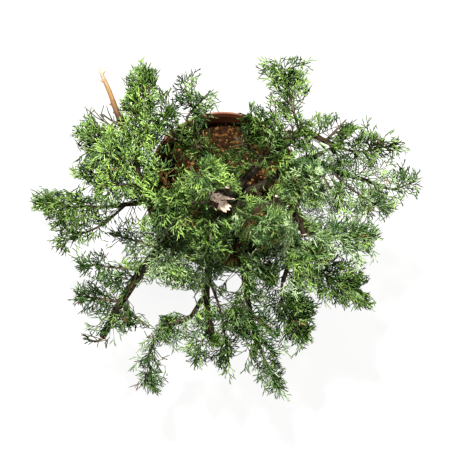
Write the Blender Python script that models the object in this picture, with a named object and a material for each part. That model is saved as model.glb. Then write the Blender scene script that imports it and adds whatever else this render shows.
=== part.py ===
"""Potted Chinese juniper, a young garden tree trained wide and low over a round brown pot.

Metres, +Z up, the origin at the middle of the pot's flat underside. +X is the right and +Y the back.
"""

import math
import random

import bmesh
import bpy
from mathutils import Quaternion, Vector
from mathutils.bvhtree import BVHTree

# Lengths below are in mm and angles in degrees.
MM = 0.001
GAP = 0.3

# Pot
RIM_RADIUS = 100
POT_HEIGHT = 150
BASE_RADIUS = 72
WALL = 3
BAND_HEIGHT = 17
BAND_STEP = 3
POT_SIDES = 36
DRAIN_HOLES = 6
DRAIN_RADIUS = 6
DRAIN_RING = 45
FLOOR = 4

# Soil
SOIL_HEIGHT = 122
SOIL_DOME = 5

# Trunk
TRUNK_SIDES = 10
FLARE = 1.75
LEAST_FORK = 42

# Each limb: its parent, how far along it, its radius at both ends, and the bends it runs through.
LIMBS = (
    ("trunk", None, 0, 19, 11, ((0, 1, 128), (5, 3, 175), (3, -12, 235), (-3, -18, 290), (-6, -17, 326))),
    ("bough_back_left", "trunk", 0.68, 7, 3.6,
     ((-40, -11, 266), (-73, -14, 278), (-92, -4, 290), (-99, 24, 302), (-97, 52, 302))),
    ("bough_left", "trunk", 0.46, 5, 2.6, ((-42, -23, 230), (-88, -18, 236), (-134, -22, 238))),
    ("bough_left_front", "trunk", 0.33, 7.5, 4.2,
     ((-34, -41, 205), (-77, -75, 212), (-105, -109, 206), (-130, -147, 196), (-151, -186, 182))),
    ("bough_front", "trunk", 0.22, 6, 3.6, ((-7, -57, 188), (-20, -113, 190), (-19, -154, 182), (-11, -191, 172))),
    ("bough_front_left", "bough_front", 0.64, 3.2, 2.2, ((-41, -160, 184), (-64, -170, 182), (-81, -184, 178))),
    ("bough_front_right", "trunk", 0.33, 5, 2.4, ((18, -57, 200), (28, -119, 207), (37, -169, 196), (47, -200, 188))),
    ("bough_right_front", "trunk", 0.52, 7, 4.6, ((34, -29, 248), (73, -19, 262), (90, -34, 266), (97, -56, 262))),
    ("bough_right_low", "bough_right_front", 0.6, 4.2, 2.6, ((83, -56, 250), (81, -84, 238), (72, -115, 226))),
    ("bough_right_back", "trunk", 0.64, 6.5, 2.4,
     ((34, 18, 262), (69, 47, 274), (93, 65, 278), (116, 55, 276), (140, 45, 272))),
    ("bough_right", "trunk", 0.58, 5, 2, ((47, 3, 252), (98, 34, 258), (133, 19, 256), (165, 10, 252), (192, 0, 248))),
    ("bough_back", "trunk", 0.8, 5, 2.4, ((-12, 21, 286), (-22, 45, 290), (-38, 66, 290))),
    ("jin", "bough_back_left", 0.9, 4.4, 1.3, ((-115, 70, 308), (-122, 88, 313), (-129, 108, 318), (-140, 133, 326))),
)

# Short dead stubs fused to a limb: limb, share along it, bearing, rise, length and radius.
STUBS = (
    ("bough_left_front", 0.16, 150, 30, 24, 4.4),
    ("bough_right_front", 0.93, -40, -20, 12, 4),
    ("bough_right_front", 0.4, 80, 40, 15, 2.2),
    ("bough_right_back", 0.6, 150, 20, 13, 2.4),
    ("bough_front", 0.55, 200, 35, 12, 2),
    ("jin", 0.3, 200, 20, 9, 1.5),
    ("jin", 0.55, 190, 10, 8, 1.3),
    ("trunk", 0.9, 60, 25, 22, 4),
    ("trunk", 0.5, 20, 15, 25, 3.6),
)

# Torn wood standing up from the trunk's top: bearing, how far out, height and radius.
SPLINTERS = (
    (30, 4, 13, 4),
    (140, 6, 6, 3.6),
    (250, 5, 9, 4.2),
    (320, 7, 5, 3),
)

# Each mass: its limb, how far along it, the bearing, reach and height of its tip, and its half width and half height.
MASSES = (
    ("back_left_top", "bough_back_left", 1.0, 121, 168, 318, 32, 24),
    ("back_left_in", "bough_back_left", 0.93, 120, 104, 306, 24, 18),
    ("back_left_open", "bough_back", 0.8, 110, 139, 290, 18, 14),
    ("back_rim", "bough_back", 1.0, 97, 112, 320, 19, 17),
    ("left_back", "bough_back_left", 0.7, 158, 184, 292, 33, 19),
    ("left_back_low", "bough_back_left", 0.56, 174, 180, 266, 20, 15),
    ("left_far", "bough_left", 1.0, 185, 234, 228, 31, 18),
    ("left_far_low", "bough_left", 0.86, 199, 222, 204, 21, 15),
    ("left_mid", "bough_left_front", 0.36, 199, 156, 226, 21, 15),
    ("left_low", "bough_left_front", 0.52, 207, 202, 212, 20, 13),
    ("front_left_out", "bough_left_front", 0.74, 215, 230, 194, 27, 16),
    ("front_left_in", "bough_left_front", 0.76, 244, 196, 190, 19, 13),
    ("front_left_end", "bough_left_front", 1.0, 226, 260, 176, 14, 11),
    ("front_a", "bough_front_left", 0.4, 243, 196, 191, 28, 17),
    ("front_b", "bough_front_left", 1.0, 251, 282, 158, 25, 16),
    ("front_c", "bough_front", 0.86, 260, 230, 166, 23, 15),
    ("front_d", "bough_front", 0.5, 273, 240, 178, 26, 18),
    ("front_in", "bough_front_right", 0.55, 277, 192, 202, 26, 17),
    ("front_e", "bough_front_right", 1.0, 286, 272, 168, 27, 16),
    ("front_right_in", "bough_front_right", 0.72, 292, 200, 214, 28, 18),
    ("front_right_low", "bough_right_low", 1.0, 299, 222, 198, 37, 22),
    ("front_right", "bough_right_low", 0.62, 324, 232, 216, 32, 20),
    ("right_front", "bough_right_low", 0.3, 342, 202, 240, 28, 18),
    ("right_mid_low", "bough_right", 0.62, 350, 212, 228, 30, 16),
    ("right_mid", "bough_right", 1.0, 2, 238, 244, 22, 15),
    ("right_back", "bough_right_back", 1.0, 13, 216, 282, 26, 17),
    ("right_back_up", "bough_right_back", 0.86, 29, 168, 292, 22, 15),
    ("right_small", "bough_right", 0.42, 20, 140, 280, 19, 13),
    ("right_in", "bough_right", 0.5, 349, 150, 244, 30, 17),
    ("back_right_top", "bough_right_back", 0.64, 67, 162, 300, 31, 17),
    ("back_right_in", "bough_right_back", 0.52, 76, 92, 298, 28, 17),
    ("back_low", "bough_right_back", 0.3, 83, 66, 232, 28, 18),
    ("top_left_a", "bough_back_left", 0.76, 163, 146, 338, 31, 20),
    ("top_left_b", "bough_back_left", 0.62, 180, 146, 322, 30, 20),
    ("top_left_c", "bough_back_left", 0.5, 157, 80, 330, 24, 18),
    ("back_inner", "bough_back", 0.6, 141, 100, 300, 28, 18),
    ("crown", "trunk", 0.93, 148, 32, 396, 42, 36),
    ("top_right", "bough_right_front", 0.62, 14, 112, 314, 38, 23),
    ("right_inner", "trunk", 0.88, 322, 84, 328, 32, 24),
    ("right_low_inner", "bough_right_low", 0.24, 322, 156, 262, 32, 20),
    ("front_inner", "trunk", 0.8, 256, 84, 334, 36, 24),
    ("left_inner", "trunk", 0.84, 194, 88, 312, 30, 20),
    ("front_left_inner", "bough_left_front", 0.3, 252, 126, 242, 36, 24),
    ("front_mid_inner", "bough_front", 0.36, 262, 96, 262, 34, 28),
    ("front_right_inner", "bough_front_right", 0.4, 304, 108, 264, 36, 32),
)

# Growth rule of the masses
STEM_RADIUS = 2.1
STEM_TIP_RADIUS = 0.8
STEM_RINGS = 5
SPACING = 7.5
FEWEST_SHOOTS = 5
MOST_SHOOTS = 13
FIRST_SHOOT = 0.16
TWIG_RADIUS = 1.3
TWIG_TIP_RADIUS = 0.7
LEAN_AT_FOOT = 74
LEAN_AT_TIP = 36
LONGEST_SPRAY = 60
SHORTEST_SPRAY = 13
SPRAY_THICKNESS = 1.7
OWN_SPACE_MARGIN = 0.02
CLEARANCE = 0.5
TRIES = 5
SIZES = (1, 0.8, 0.62)
ROUNDNESS = 2.8
BEYOND = 1.12

# One side of a spray, as shares of its length along and across: tooth, notch, tooth, notch, tip
SPRAY_EDGE = ((0.42, 0.29), (0.44, 0.125), (0.72, 0.215), (0.7, 0.075), (1, 0))
UP = Vector((0, 0, 1))

# Colours and how rough each surface is
COLOURS = {
    "pot": ((0.13, 0.045, 0.022), 0.6),
    "soil": ((0.12, 0.062, 0.03), 0.95),
    "bark": ((0.06, 0.045, 0.03), 0.85),
    "dead": ((0.62, 0.47, 0.32), 0.75),
    "green": ((0.085, 0.14, 0.045), 0.6),
}


def clear_scene():
    """Empty the file before building."""
    for thing in list(bpy.data.objects):
        bpy.data.objects.remove(thing, do_unlink=True)


def material_for(name, look):
    colour, roughness = COLOURS[look]
    material = bpy.data.materials.new(name)
    material.use_nodes = True
    shader = material.node_tree.nodes["Principled BSDF"]
    shader.inputs["Base Color"].default_value = (*colour, 1)
    shader.inputs["Roughness"].default_value = roughness
    shader.inputs["Metallic"].default_value = 0
    return material


def object_from(name, verts, faces):
    mesh = bpy.data.meshes.new(name)
    mesh.from_pydata([tuple(Vector(v) * MM) for v in verts], [], faces)
    mesh.update()
    thing = bpy.data.objects.new(name, mesh)
    bpy.context.scene.collection.objects.link(thing)
    return thing


def keep_largest_shell(mesh):
    """Drop loose scraps and sealed hollows, so one closed shell is left."""
    shape = bmesh.new()
    shape.from_mesh(mesh)
    shape.verts.ensure_lookup_table()
    seen = set()
    shells = []
    for start in shape.verts:
        if start in seen:
            continue
        seen.add(start)
        shell = [start]
        for vert in shell:
            for edge in vert.link_edges:
                other = edge.other_vert(vert)
                if other not in seen:
                    seen.add(other)
                    shell.append(other)
        shells.append(shell)
    shells.sort(key=len, reverse=True)
    for shell in shells[1:]:
        bmesh.ops.delete(shape, geom=shell, context="VERTS")
    shape.to_mesh(mesh)
    shape.free()
    return len(shells) - 1


def fused(name, pieces, look, smooth=40):
    """One solid from overlapping closed pieces, by one union on a collection."""
    things = [object_from(f"{name}_{k}", *piece) for k, piece in enumerate(pieces)]
    whole = things[0]
    if len(things) > 1:
        rest = bpy.data.collections.new(f"{name}_pieces")
        for thing in things[1:]:
            rest.objects.link(thing)
        union = whole.modifiers.new("join", "BOOLEAN")
        union.operation = "UNION"
        union.operand_type = "COLLECTION"
        union.collection = rest
        union.solver = "EXACT"
        graph = bpy.context.evaluated_depsgraph_get()
        joined = bpy.data.meshes.new_from_object(whole.evaluated_get(graph))
        whole.modifiers.clear()
        whole.data = joined
        for thing in things[1:]:
            bpy.data.objects.remove(thing, do_unlink=True)
        bpy.data.collections.remove(rest)
    keep_largest_shell(whole.data)
    whole.name = name
    whole.data.materials.clear()
    whole.data.materials.append(material_for(name, look))
    if smooth:
        whole.data.shade_smooth()
        whole.data.set_sharp_from_angle(angle=math.radians(smooth))
    return whole


def lathe(profile, sides):
    """Turn a closed wall of (radius, height) pairs whose first and last lie on the axis."""
    verts = []
    rings = []
    for radius, height in profile:
        if radius == 0:
            rings.append([len(verts)] * sides)
            verts.append((0, 0, height))
            continue
        rings.append(list(range(len(verts), len(verts) + sides)))
        for k in range(sides):
            turn = math.tau * k / sides
            verts.append((radius * math.cos(turn), radius * math.sin(turn), height))
    faces = []
    for low, high in zip(rings, rings[1:]):
        for k in range(sides):
            after = (k + 1) % sides
            corners = (low[k], low[after], high[after], high[k])
            faces.append(tuple(dict.fromkeys(corners)))
    return verts, faces


def smooth_line(points, steps=2):
    """Points of a smooth line through the bends given."""
    ends = [points[0] * 2 - points[1], *points, points[-1] * 2 - points[-2]]
    line = [points[0].copy()]
    for a, b, c, d in zip(ends, ends[1:], ends[2:], ends[3:]):
        for k in range(1, steps + 1):
            t = k / steps
            line.append(
                0.5 * (2 * b + (c - a) * t + (2 * a - 5 * b + 4 * c - d) * t * t
                       + (3 * b - 3 * c + d - a) * t ** 3)
            )
    return line


def along(line, share):
    """The point at a share of a line's length, and the direction there."""
    lengths = [(b - a).length for a, b in zip(line, line[1:])]
    left = share * sum(lengths)
    for a, b, length in zip(line, line[1:], lengths):
        if left <= length or b is line[-1]:
            return a.lerp(b, min(left / length, 1)), (b - a).normalized()
        left -= length
    return line[-1], (line[-1] - line[-2]).normalized()


def tube(line, radii, sides, first=None, last=None):
    """A closed limb along a line, one radius a point, its ends cut square."""
    verts = []
    steps = [(b - a).normalized() for a, b in zip(line, line[1:])]
    ways = [first or steps[0]]
    ways += [(a + b).normalized() for a, b in zip(steps, steps[1:])]
    ways.append(last or steps[-1])
    across = ways[0].orthogonal().normalized()
    for point, way, radius in zip(line, ways, radii):
        across = (across - way * across.dot(way)).normalized()
        other = way.cross(across)
        for k in range(sides):
            turn = math.tau * k / sides
            verts.append(point + (across * math.cos(turn) + other * math.sin(turn)) * radius)
    faces = [tuple(reversed(range(sides)))]
    for ring in range(len(line) - 1):
        for k in range(sides):
            after = (k + 1) % sides
            low = ring * sides
            faces.append((low + k, low + after, low + sides + after, low + sides + k))
    faces.append(tuple(range(len(verts) - sides, len(verts))))
    return verts, faces


def spray(root, way, flat, length, thick):
    """A toothed blade, flat below and ridged above, with its root sunk in wood of the given radius."""
    side = flat.cross(way).normalized()
    start = root - way * thick * 0.7 - flat * 0.25
    right = [start + (way * ahead + side * out) * length for ahead, out in SPRAY_EDGE]
    left = [start + (way * ahead - side * out) * length for ahead, out in SPRAY_EDGE[-2::-1]]
    edge = [start, *right, *left]
    top = len(edge)
    verts = [*edge, root + way * length * 0.12 + flat * SPRAY_THICKNESS]
    faces = [tuple(range(top))]
    faces += [((k + 1) % top, k, top) for k in range(top)]
    return verts, faces


class Room:
    """The space of a mass: a rounded block about the line from its foot to its tip."""

    def __init__(self, start, tip, half_width, half_height):
        self.middle = (start + tip) / 2
        self.ahead = (tip - start).normalized()
        self.across = self.ahead.cross(UP).normalized()
        self.above = self.across.cross(self.ahead)
        self.half = ((tip - start).length / 2, half_width, half_height)

    def inside(self, point):
        """How far out a point lies, 1 on the surface of the space."""
        away = point - self.middle
        parts = (away.dot(self.ahead), away.dot(self.across), away.dot(self.above))
        return sum(abs(part / half) ** ROUNDNESS for part, half in zip(parts, self.half)) ** (1 / ROUNDNESS)

    def reach(self, point, way):
        """How far it is from a point inside to the surface."""
        near = 0
        far = 3 * max(self.half)
        for _ in range(12):
            middle = (near + far) / 2
            if self.inside(point + way * middle) < 1:
                near = middle
            else:
                far = middle
        return near


class Taken:
    """Solids already placed, each with the node it belongs to."""

    def __init__(self):
        self.things = []
        self.pieces = []

    def add(self, owner, piece):
        self.pieces.append(piece)
        verts, faces = piece
        low = [min(v[k] for v in verts) for k in range(3)]
        high = [max(v[k] for v in verts) for k in range(3)]
        self.things.append((owner, low, high, BVHTree.FromPolygons(verts, faces)))

    def meets(self, owner, piece):
        """Whether a piece, a little larger, touches a solid of another node."""
        verts, faces = piece
        middle = sum((Vector(v) for v in verts), Vector()) / len(verts)
        grown = []
        for vert in verts:
            out = Vector(vert) - middle
            grown.append(middle + out * (1 + CLEARANCE / max(out.length, 0.5)))
        low = [min(v[k] for v in grown) for k in range(3)]
        high = [max(v[k] for v in grown) for k in range(3)]
        tree = BVHTree.FromPolygons(grown, faces)
        for other, their_low, their_high, their_tree in self.things:
            if other == owner or any(low[k] > their_high[k] or high[k] < their_low[k] for k in range(3)):
                continue
            if tree.overlap(their_tree):
                return True
        return False


def make_pot():
    slope = (RIM_RADIUS - BAND_STEP - BASE_RADIUS) / POT_HEIGHT
    band_foot = POT_HEIGHT - BAND_HEIGHT

    def wall(height):
        return BASE_RADIUS + slope * height

    profile = (
        (0, 0), (BASE_RADIUS - 2, 0), (wall(2), 2), (wall(band_foot), band_foot),
        (wall(band_foot) + BAND_STEP, band_foot + 1.5), (RIM_RADIUS, POT_HEIGHT - 1.2),
        (RIM_RADIUS - 1.2, POT_HEIGHT), (RIM_RADIUS - BAND_STEP, POT_HEIGHT),
        (wall(POT_HEIGHT - 2) - WALL + 1, POT_HEIGHT - 2), (wall(FLOOR) - WALL, FLOOR), (0, FLOOR),
    )
    pot = fused("pot", [lathe(profile, POT_SIDES)], "pot")
    holes = []
    for k in range(DRAIN_HOLES):
        turn = math.tau * k / DRAIN_HOLES
        foot = Vector((math.cos(turn), math.sin(turn), 0)) * DRAIN_RING
        holes.append(tube([foot - UP * 3, foot + UP * (FLOOR + 3)], [DRAIN_RADIUS] * 2, 10))
    for k, hole in enumerate(holes):
        cutter = object_from(f"drain_cutter_{k}", *hole)
        cutter.hide_render = True
        cutter.display_type = "WIRE"
        cut = pot.modifiers.new(f"drain {k}", "BOOLEAN")
        cut.operation = "DIFFERENCE"
        cut.object = cutter
        cut.solver = "EXACT"


def soil_radius(height):
    slope = (RIM_RADIUS - BAND_STEP - BASE_RADIUS) / POT_HEIGHT
    return BASE_RADIUS + slope * height - WALL - GAP


def make_soil():
    """Soil filling the pot, gently domed towards the trunk."""
    low = FLOOR + GAP
    profile = (
        (0, low), (soil_radius(low) - 0.2, low), (soil_radius(SOIL_HEIGHT) - 0.4, SOIL_HEIGHT),
        (36, SOIL_HEIGHT + SOIL_DOME), (0, SOIL_HEIGHT + SOIL_DOME),
    )
    fused("soil", [lathe(profile, POT_SIDES)], "soil")


def limb_sides(radius):
    return 7 if radius > 6 else 6 if radius > 3.6 else 5


def plan_limbs():
    """The line and radii of each limb, and the collar on its parent that it meets."""
    lines = {}
    collars = {}
    for name, parent, share, thick, thin, bends in LIMBS:
        bends = [Vector(bend) for bend in bends]
        if parent is None:
            bends[0].z = SOIL_HEIGHT + SOIL_DOME + GAP
            line = smooth_line(bends, 2)
            radii = []
            for k in range(len(line)):
                t = k / (len(line) - 1)
                radii.append(thick + (thin - thick) * t + thick * (FLARE - 1) * (1 - t) ** 9)
            lines[name] = (line, radii, UP, UP)
            continue
        start, way, collar = meet(lines, parent, share, bends[0], thick)
        collars.setdefault(parent, []).append(collar)
        line = smooth_line([start, *bends])
        radii = [thick + (thin - thick) * k / (len(line) - 1) for k in range(len(line))]
        lines[name] = (line, radii, way, None)
    return lines, collars


def meet(lines, parent, share, towards, radius):
    """Where a child starts, just clear of the flat end of a collar fused to its parent."""
    line, radii, _, last = lines[parent]
    point, along_parent = along(line, min(share, 1))
    if share >= 1:
        way = last or along_parent
        return point + way * GAP, way, None
    thickness = radii[0] + (radii[-1] - radii[0]) * share
    way = (towards - point).normalized()
    narrow = math.radians(LEAST_FORK) - way.angle(along_parent)
    if narrow > 0:
        way = Quaternion(along_parent.cross(way).normalized(), narrow) @ way
    angle = way.angle(along_parent)
    length = (thickness + radius * abs(math.cos(angle))) / math.sin(angle) + 1.5
    end = point + way * length
    collar = tube([point, end], [min(radius * 1.25, thickness * 0.9), radius], limb_sides(radius))
    return end + way * GAP, way, collar


def direction(bearing, rise):
    """A unit vector at a bearing from +X and a rise from level, both in degrees."""
    level = math.cos(math.radians(rise))
    turn = math.radians(bearing)
    return Vector((math.cos(turn) * level, math.sin(turn) * level, math.sin(math.radians(rise))))


def plan_masses(lines, collars):
    """Stem and space of each mass."""
    plans = {}
    for number, (name, parent, share, bearing, reach, height, half_width, half_height) in enumerate(MASSES):
        turn = math.radians(bearing)
        tip = Vector((math.cos(turn) * reach, math.sin(turn) * reach, height))
        at, _ = along(lines[parent][0], min(share, 1))
        towards = at.lerp(tip, 0.3) + UP * 0.1 * (tip - at).length
        radius = min(STEM_RADIUS, lines[parent][1][-1] * 0.95)
        start, way, collar = meet(lines, parent, share, towards, radius)
        if collar:
            collars.setdefault(parent, []).append(collar)
        span = (tip - start).length
        end = tip - (tip - start).normalized() * span * 0.16
        stem = []
        for k in range(STEM_RINGS):
            t = k / (STEM_RINGS - 1)
            knee = start + way * span * 0.35
            far = end - (tip - start).normalized() * span * 0.25
            stem.append(start * (1 - t) ** 3 + knee * 3 * t * (1 - t) ** 2 + far * 3 * t * t * (1 - t) + end * t ** 3)
        radii = [radius + (STEM_TIP_RADIUS - radius) * k / (STEM_RINGS - 1) for k in range(STEM_RINGS)]
        room = Room(start, tip, half_width, half_height)
        plans[name] = (stem, radii, way, room, number)
    return plans


def own(name, point, plans, room):
    """Whether a point is nearer to this mass's space than to any other."""
    mine = room.inside(point)
    if mine > 1.25:
        return False
    for other, plan in plans.items():
        if other != name and plan[3].inside(point) < mine + OWN_SPACE_MARGIN:
            return False
    return True


def grow(name, plans, taken):
    """The pieces of one mass: stem, twigs and sprays that keep to its space."""
    stem, radii, way, room, number = plans[name]
    pieces = [tube(stem, radii, 4, first=way)]
    sprays = Taken()

    def fits(piece, checks):
        return all(own(name, p, plans, room) for p in checks) and not taken.meets(name, piece)

    def add_spray(root, towards, flat, length, thick):
        if length < SHORTEST_SPRAY:
            return False
        blade = spray(root, towards, flat, length, thick)
        if not fits(blade, (root + towards * length, root + towards * length * 0.5)) or sprays.meets("", blade):
            return False
        pieces.append(blade)
        sprays.add(name, blade)
        return True

    def facing(towards, chance):
        """The side of a spray that looks up, tilted at random."""
        up = UP + 0.75 * Vector((chance.uniform(-1, 1), chance.uniform(-1, 1), 0))
        if abs(towards.z) > 0.8:
            up = towards.orthogonal()
        return (up - towards * up.dot(towards)).normalized()

    length = sum((b - a).length for a, b in zip(stem, stem[1:]))
    count = max(FEWEST_SHOOTS, min(MOST_SHOOTS, round(length / SPACING)))
    tip, ahead = along(stem, 1)
    chance = random.Random(number * 977)
    reach = max(room.reach(tip - ahead, ahead) + 3, SHORTEST_SPRAY + 2)
    for size in SIZES:
        if add_spray(tip - ahead * 2, ahead, facing(ahead, chance), min(reach, LONGEST_SPRAY) * size, 1):
            break
    for k in reversed(range(count)):
        share = FIRST_SHOOT + (0.93 - FIRST_SHOOT) * (k + 0.5) / count
        foot, ahead = along(stem, share)
        across = ahead.cross(UP).normalized()
        above = across.cross(ahead)
        thick = radii[0] + (radii[-1] - radii[0]) * share
        chance = random.Random(number * 977 + k + 1)
        for size in [size for size in SIZES for _ in range(TRIES)]:
            roll = math.pi * (k % 2) + chance.uniform(-1, 1) * (0.4 + 0.8 * room.half[2] / room.half[1])
            if k % 3 == 1:
                roll = math.pi / 2 + chance.uniform(-0.7, 0.7)
            lean = math.radians(LEAN_AT_FOOT + (LEAN_AT_TIP - LEAN_AT_FOOT) * share + chance.uniform(-12, 12))
            out = across * math.cos(roll) + above * math.sin(roll)
            towards = ahead * math.cos(lean) + out * math.sin(lean)
            flat = facing(towards, chance)
            reach = room.reach(foot, towards) * BEYOND
            if reach < LONGEST_SPRAY * 0.9:
                if add_spray(foot, towards, flat, reach * size, thick):
                    break
                continue
            long = min(reach * 0.72, LONGEST_SPRAY) * size
            end = foot + towards * (reach * size - long + 2)
            twig = tube([foot, end], [TWIG_RADIUS, TWIG_TIP_RADIUS], 3)
            if not fits(twig, (end, foot.lerp(end, 0.6))) or sprays.meets("", twig):
                continue
            if add_spray(end - towards, towards, flat, long, TWIG_TIP_RADIUS):
                pieces.append(twig)
                taken.add(name, twig)
                break
    for piece in sprays.pieces:
        taken.add(name, piece)
    return pieces


def splinters(top):
    """Torn wood on the trunk's sawn top."""
    pieces = []
    for bearing, out, height, radius in SPLINTERS:
        foot = top + direction(bearing, 0) * out
        lean = direction(bearing, 0) * 0.2 + UP
        pieces.append(tube([foot - lean * 5, foot + lean * height], [radius, radius * 0.25], 5))
    return pieces


def make_plant():
    lines, collars = plan_limbs()
    plans = plan_masses(lines, collars)
    for parent, share, bearing, rise, length, radius in STUBS:
        line, radii, _, _ = lines[parent]
        point, _ = along(line, share)
        way = direction(bearing, rise)
        collars.setdefault(parent, []).append(tube([point, point + way * length], [radius * 1.2, radius * 0.8], 6))
    taken = Taken()
    for name, (line, radii, first, last) in lines.items():
        sides = TRUNK_SIDES if name == "trunk" else limb_sides(radii[0])
        pieces = [tube(line, radii, sides, first, last), *collars.get(name, [])]
        if name == "trunk":
            pieces += splinters(line[-1])
        for piece in pieces:
            taken.add(name, piece)
        fused(name, pieces, "dead" if name == "jin" else "bark", 60)
    for name, plan in plans.items():
        taken.add(name, tube(plan[0], plan[1], 4, first=plan[2]))
    for name in plans:
        fused(f"mass_{name}", grow(name, plans, taken), "green", 0)


clear_scene()
make_pot()
make_soil()
make_plant()
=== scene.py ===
"""Looks of the potted Chinese juniper: bark, dead wood, twigs, scale leaves, soil and pot.

Lengths are in mm until a mesh is made. The frame is in metres, +Z up and +Y the back.
"""

import math
import random
from collections import namedtuple

import bmesh
import bpy
import numpy as np
from mathutils import Matrix, Quaternion, Vector
from mathutils import noise
from mathutils.bvhtree import BVHTree
from mathutils.kdtree import KDTree


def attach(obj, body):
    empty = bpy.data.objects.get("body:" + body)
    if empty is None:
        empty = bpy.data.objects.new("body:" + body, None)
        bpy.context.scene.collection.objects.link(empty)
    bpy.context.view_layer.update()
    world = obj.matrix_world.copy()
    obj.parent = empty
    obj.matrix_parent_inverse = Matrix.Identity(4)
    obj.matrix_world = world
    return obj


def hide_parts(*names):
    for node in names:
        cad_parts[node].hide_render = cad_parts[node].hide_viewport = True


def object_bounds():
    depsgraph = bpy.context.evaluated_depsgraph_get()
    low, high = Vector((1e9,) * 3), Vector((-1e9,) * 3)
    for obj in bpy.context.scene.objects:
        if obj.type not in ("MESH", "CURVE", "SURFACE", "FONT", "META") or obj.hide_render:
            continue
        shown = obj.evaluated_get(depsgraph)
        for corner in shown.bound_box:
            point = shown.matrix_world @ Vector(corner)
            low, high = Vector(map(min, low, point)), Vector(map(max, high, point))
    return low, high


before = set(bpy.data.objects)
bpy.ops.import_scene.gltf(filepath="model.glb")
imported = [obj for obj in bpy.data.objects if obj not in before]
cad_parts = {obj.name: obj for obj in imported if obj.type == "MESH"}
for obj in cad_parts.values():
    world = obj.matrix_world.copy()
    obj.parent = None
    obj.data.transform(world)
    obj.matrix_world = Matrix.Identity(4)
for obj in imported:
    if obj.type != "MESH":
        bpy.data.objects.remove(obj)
cad_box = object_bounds()

MM = 0.001
GAP = 0.3
UP = Vector((0, 0, 1))

# Seeds of the random draws
SEEDS = {
    "shoots": 977, "extra shoots": 613, "branchlets": 331, "limb shoots": 57, "limb branchlets": 12,
    "bare twigs": 91, "granules": 33,
}

# Picture
PICTURE_SIDE = 452
FOCAL_PIXELS = 1175
CAMERA_PLACE = (3.8, -46, 1650)
NEAREST_SEEN = 0.02

# Each light: its name, its place in metres, its width and its power
LIGHTS = (
    ("key", (-0.3, 1.1, 2.45), 0.2, 227),
    ("front", (0.7, -1.0, 2.3), 0.3, 26),
    ("over", (0.3, -0.4, 2.6), 1.6, 4),
)
LIGHT_COLOUR = (1, 0.985, 0.935)
LIGHT_AIM = Vector((0, -0.04, 0.25))
SURROUND_COLOUR = (1, 0.98, 0.87, 1)
SURROUND_STRENGTH = 0.14
FLOOR_REACH = 4
FLOOR_GREYS = ((0.085, 0.085, 0.085), (0.095, 0.095, 0.095))
FLOOR_GLOW = 0.9

# Pot
RIM_RADIUS = 100
POT_HEIGHT = 150
BASE_RADIUS = 72
WALL = 3
BAND_HEIGHT = 17
BAND_STEP = 3
FLOOR = 4
POT_SLOPE = (RIM_RADIUS - BAND_STEP - BASE_RADIUS) / POT_HEIGHT
DRAIN_HOLES = 6
DRAIN_RADIUS = 6
DRAIN_RING = 45
DRAIN_SIDES = 24
TURN_STEPS = 96
SHARP_EDGE = 35

# Soil: it is level out to one radius and falls to the wall over the next stretch
SOIL_HEIGHT = 122
SOIL_DOME = 5
DOME_LEVEL = 36
DOME_FALL = 52
BED_DEPTH = 2.4

# Granules: spacing, shift from the grid, sizes, squash on each axis and how they lie
GRAIN_SPACING = 3.3
GRAIN_ROW = 0.87
GRAIN_SHIFT = 1.1
GRAIN_SIZE = (1.2, 2.5)
USUAL_GRAINS = 0.88
BIG_GRAIN = 1.4
GRAIN_SQUASH = ((0.75, 1.2), (0.75, 1.2), (0.6, 1))
GRAIN_LUMPS = (0.82, 1.15)
GRAIN_SINK = 2.6
GRAIN_LIFT = 1.5
GRAIN_MARGIN = 2.2
# Painted shade on the soil: more dark granules from this far back, fully so over the next stretch
PAINTED_SHADE_FROM = 25
PAINTED_SHADE_OVER = 30

# Each kind of granule: its colour, its share at the front of the pot, and what the painted shade towards the
# back adds to that share
GRAINS = {
    "dark": ((0.024, 0.0105, 0.0035), 0.3, 0.34),
    "rust": ((0.105, 0.046, 0.013), 0.44, -0.12),
    "tan": ((0.2, 0.112, 0.043), 0.26, -0.22),
}

# Trunk and boughs, as in the part's source
FLARE = 1.75
FLARE_BEND = 9
LEAST_FORK = 42
COLLAR_REACH = 1.5
COLLAR_SPREAD = 1.25
COLLAR_LIMIT = 0.9

# Bark relief in mm at a radius of 10, how many furrows fit round a limb, and its twist in turns a metre
RELIEF = 0.95
FURROWS = 0.34
TWIST = 2.2

# Layers of the bark: how fast each changes along a limb, its shift from limb to limb, and how fast round it
BARK_LAYERS = ((0.03, 7, 1), (0.07, 3, 2.3), (0.25, 0, 5))
SKIN_SIDES = 14
VOXEL = 0.85
THIN_VOXEL = 0.6
THIN_LIMB = 2.5
SOFTENING = 4
LIMB_ROOT = 2.2
TOP_TAPER = 0.78
CUT_LENGTH = 1.4
CUT_BARE = 0.9
CUT_RELIEF = 0.4
TORN_REACH = 9
TORN_FADE = 6
SHARD_FOOT = 2.5
SHARD_TIP = 0.45
SHARD_SKIN = 1.1
SHARD_LIMIT = 4
JIN_EXTRA = 0.9
JIN_TIP = 0.8

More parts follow.
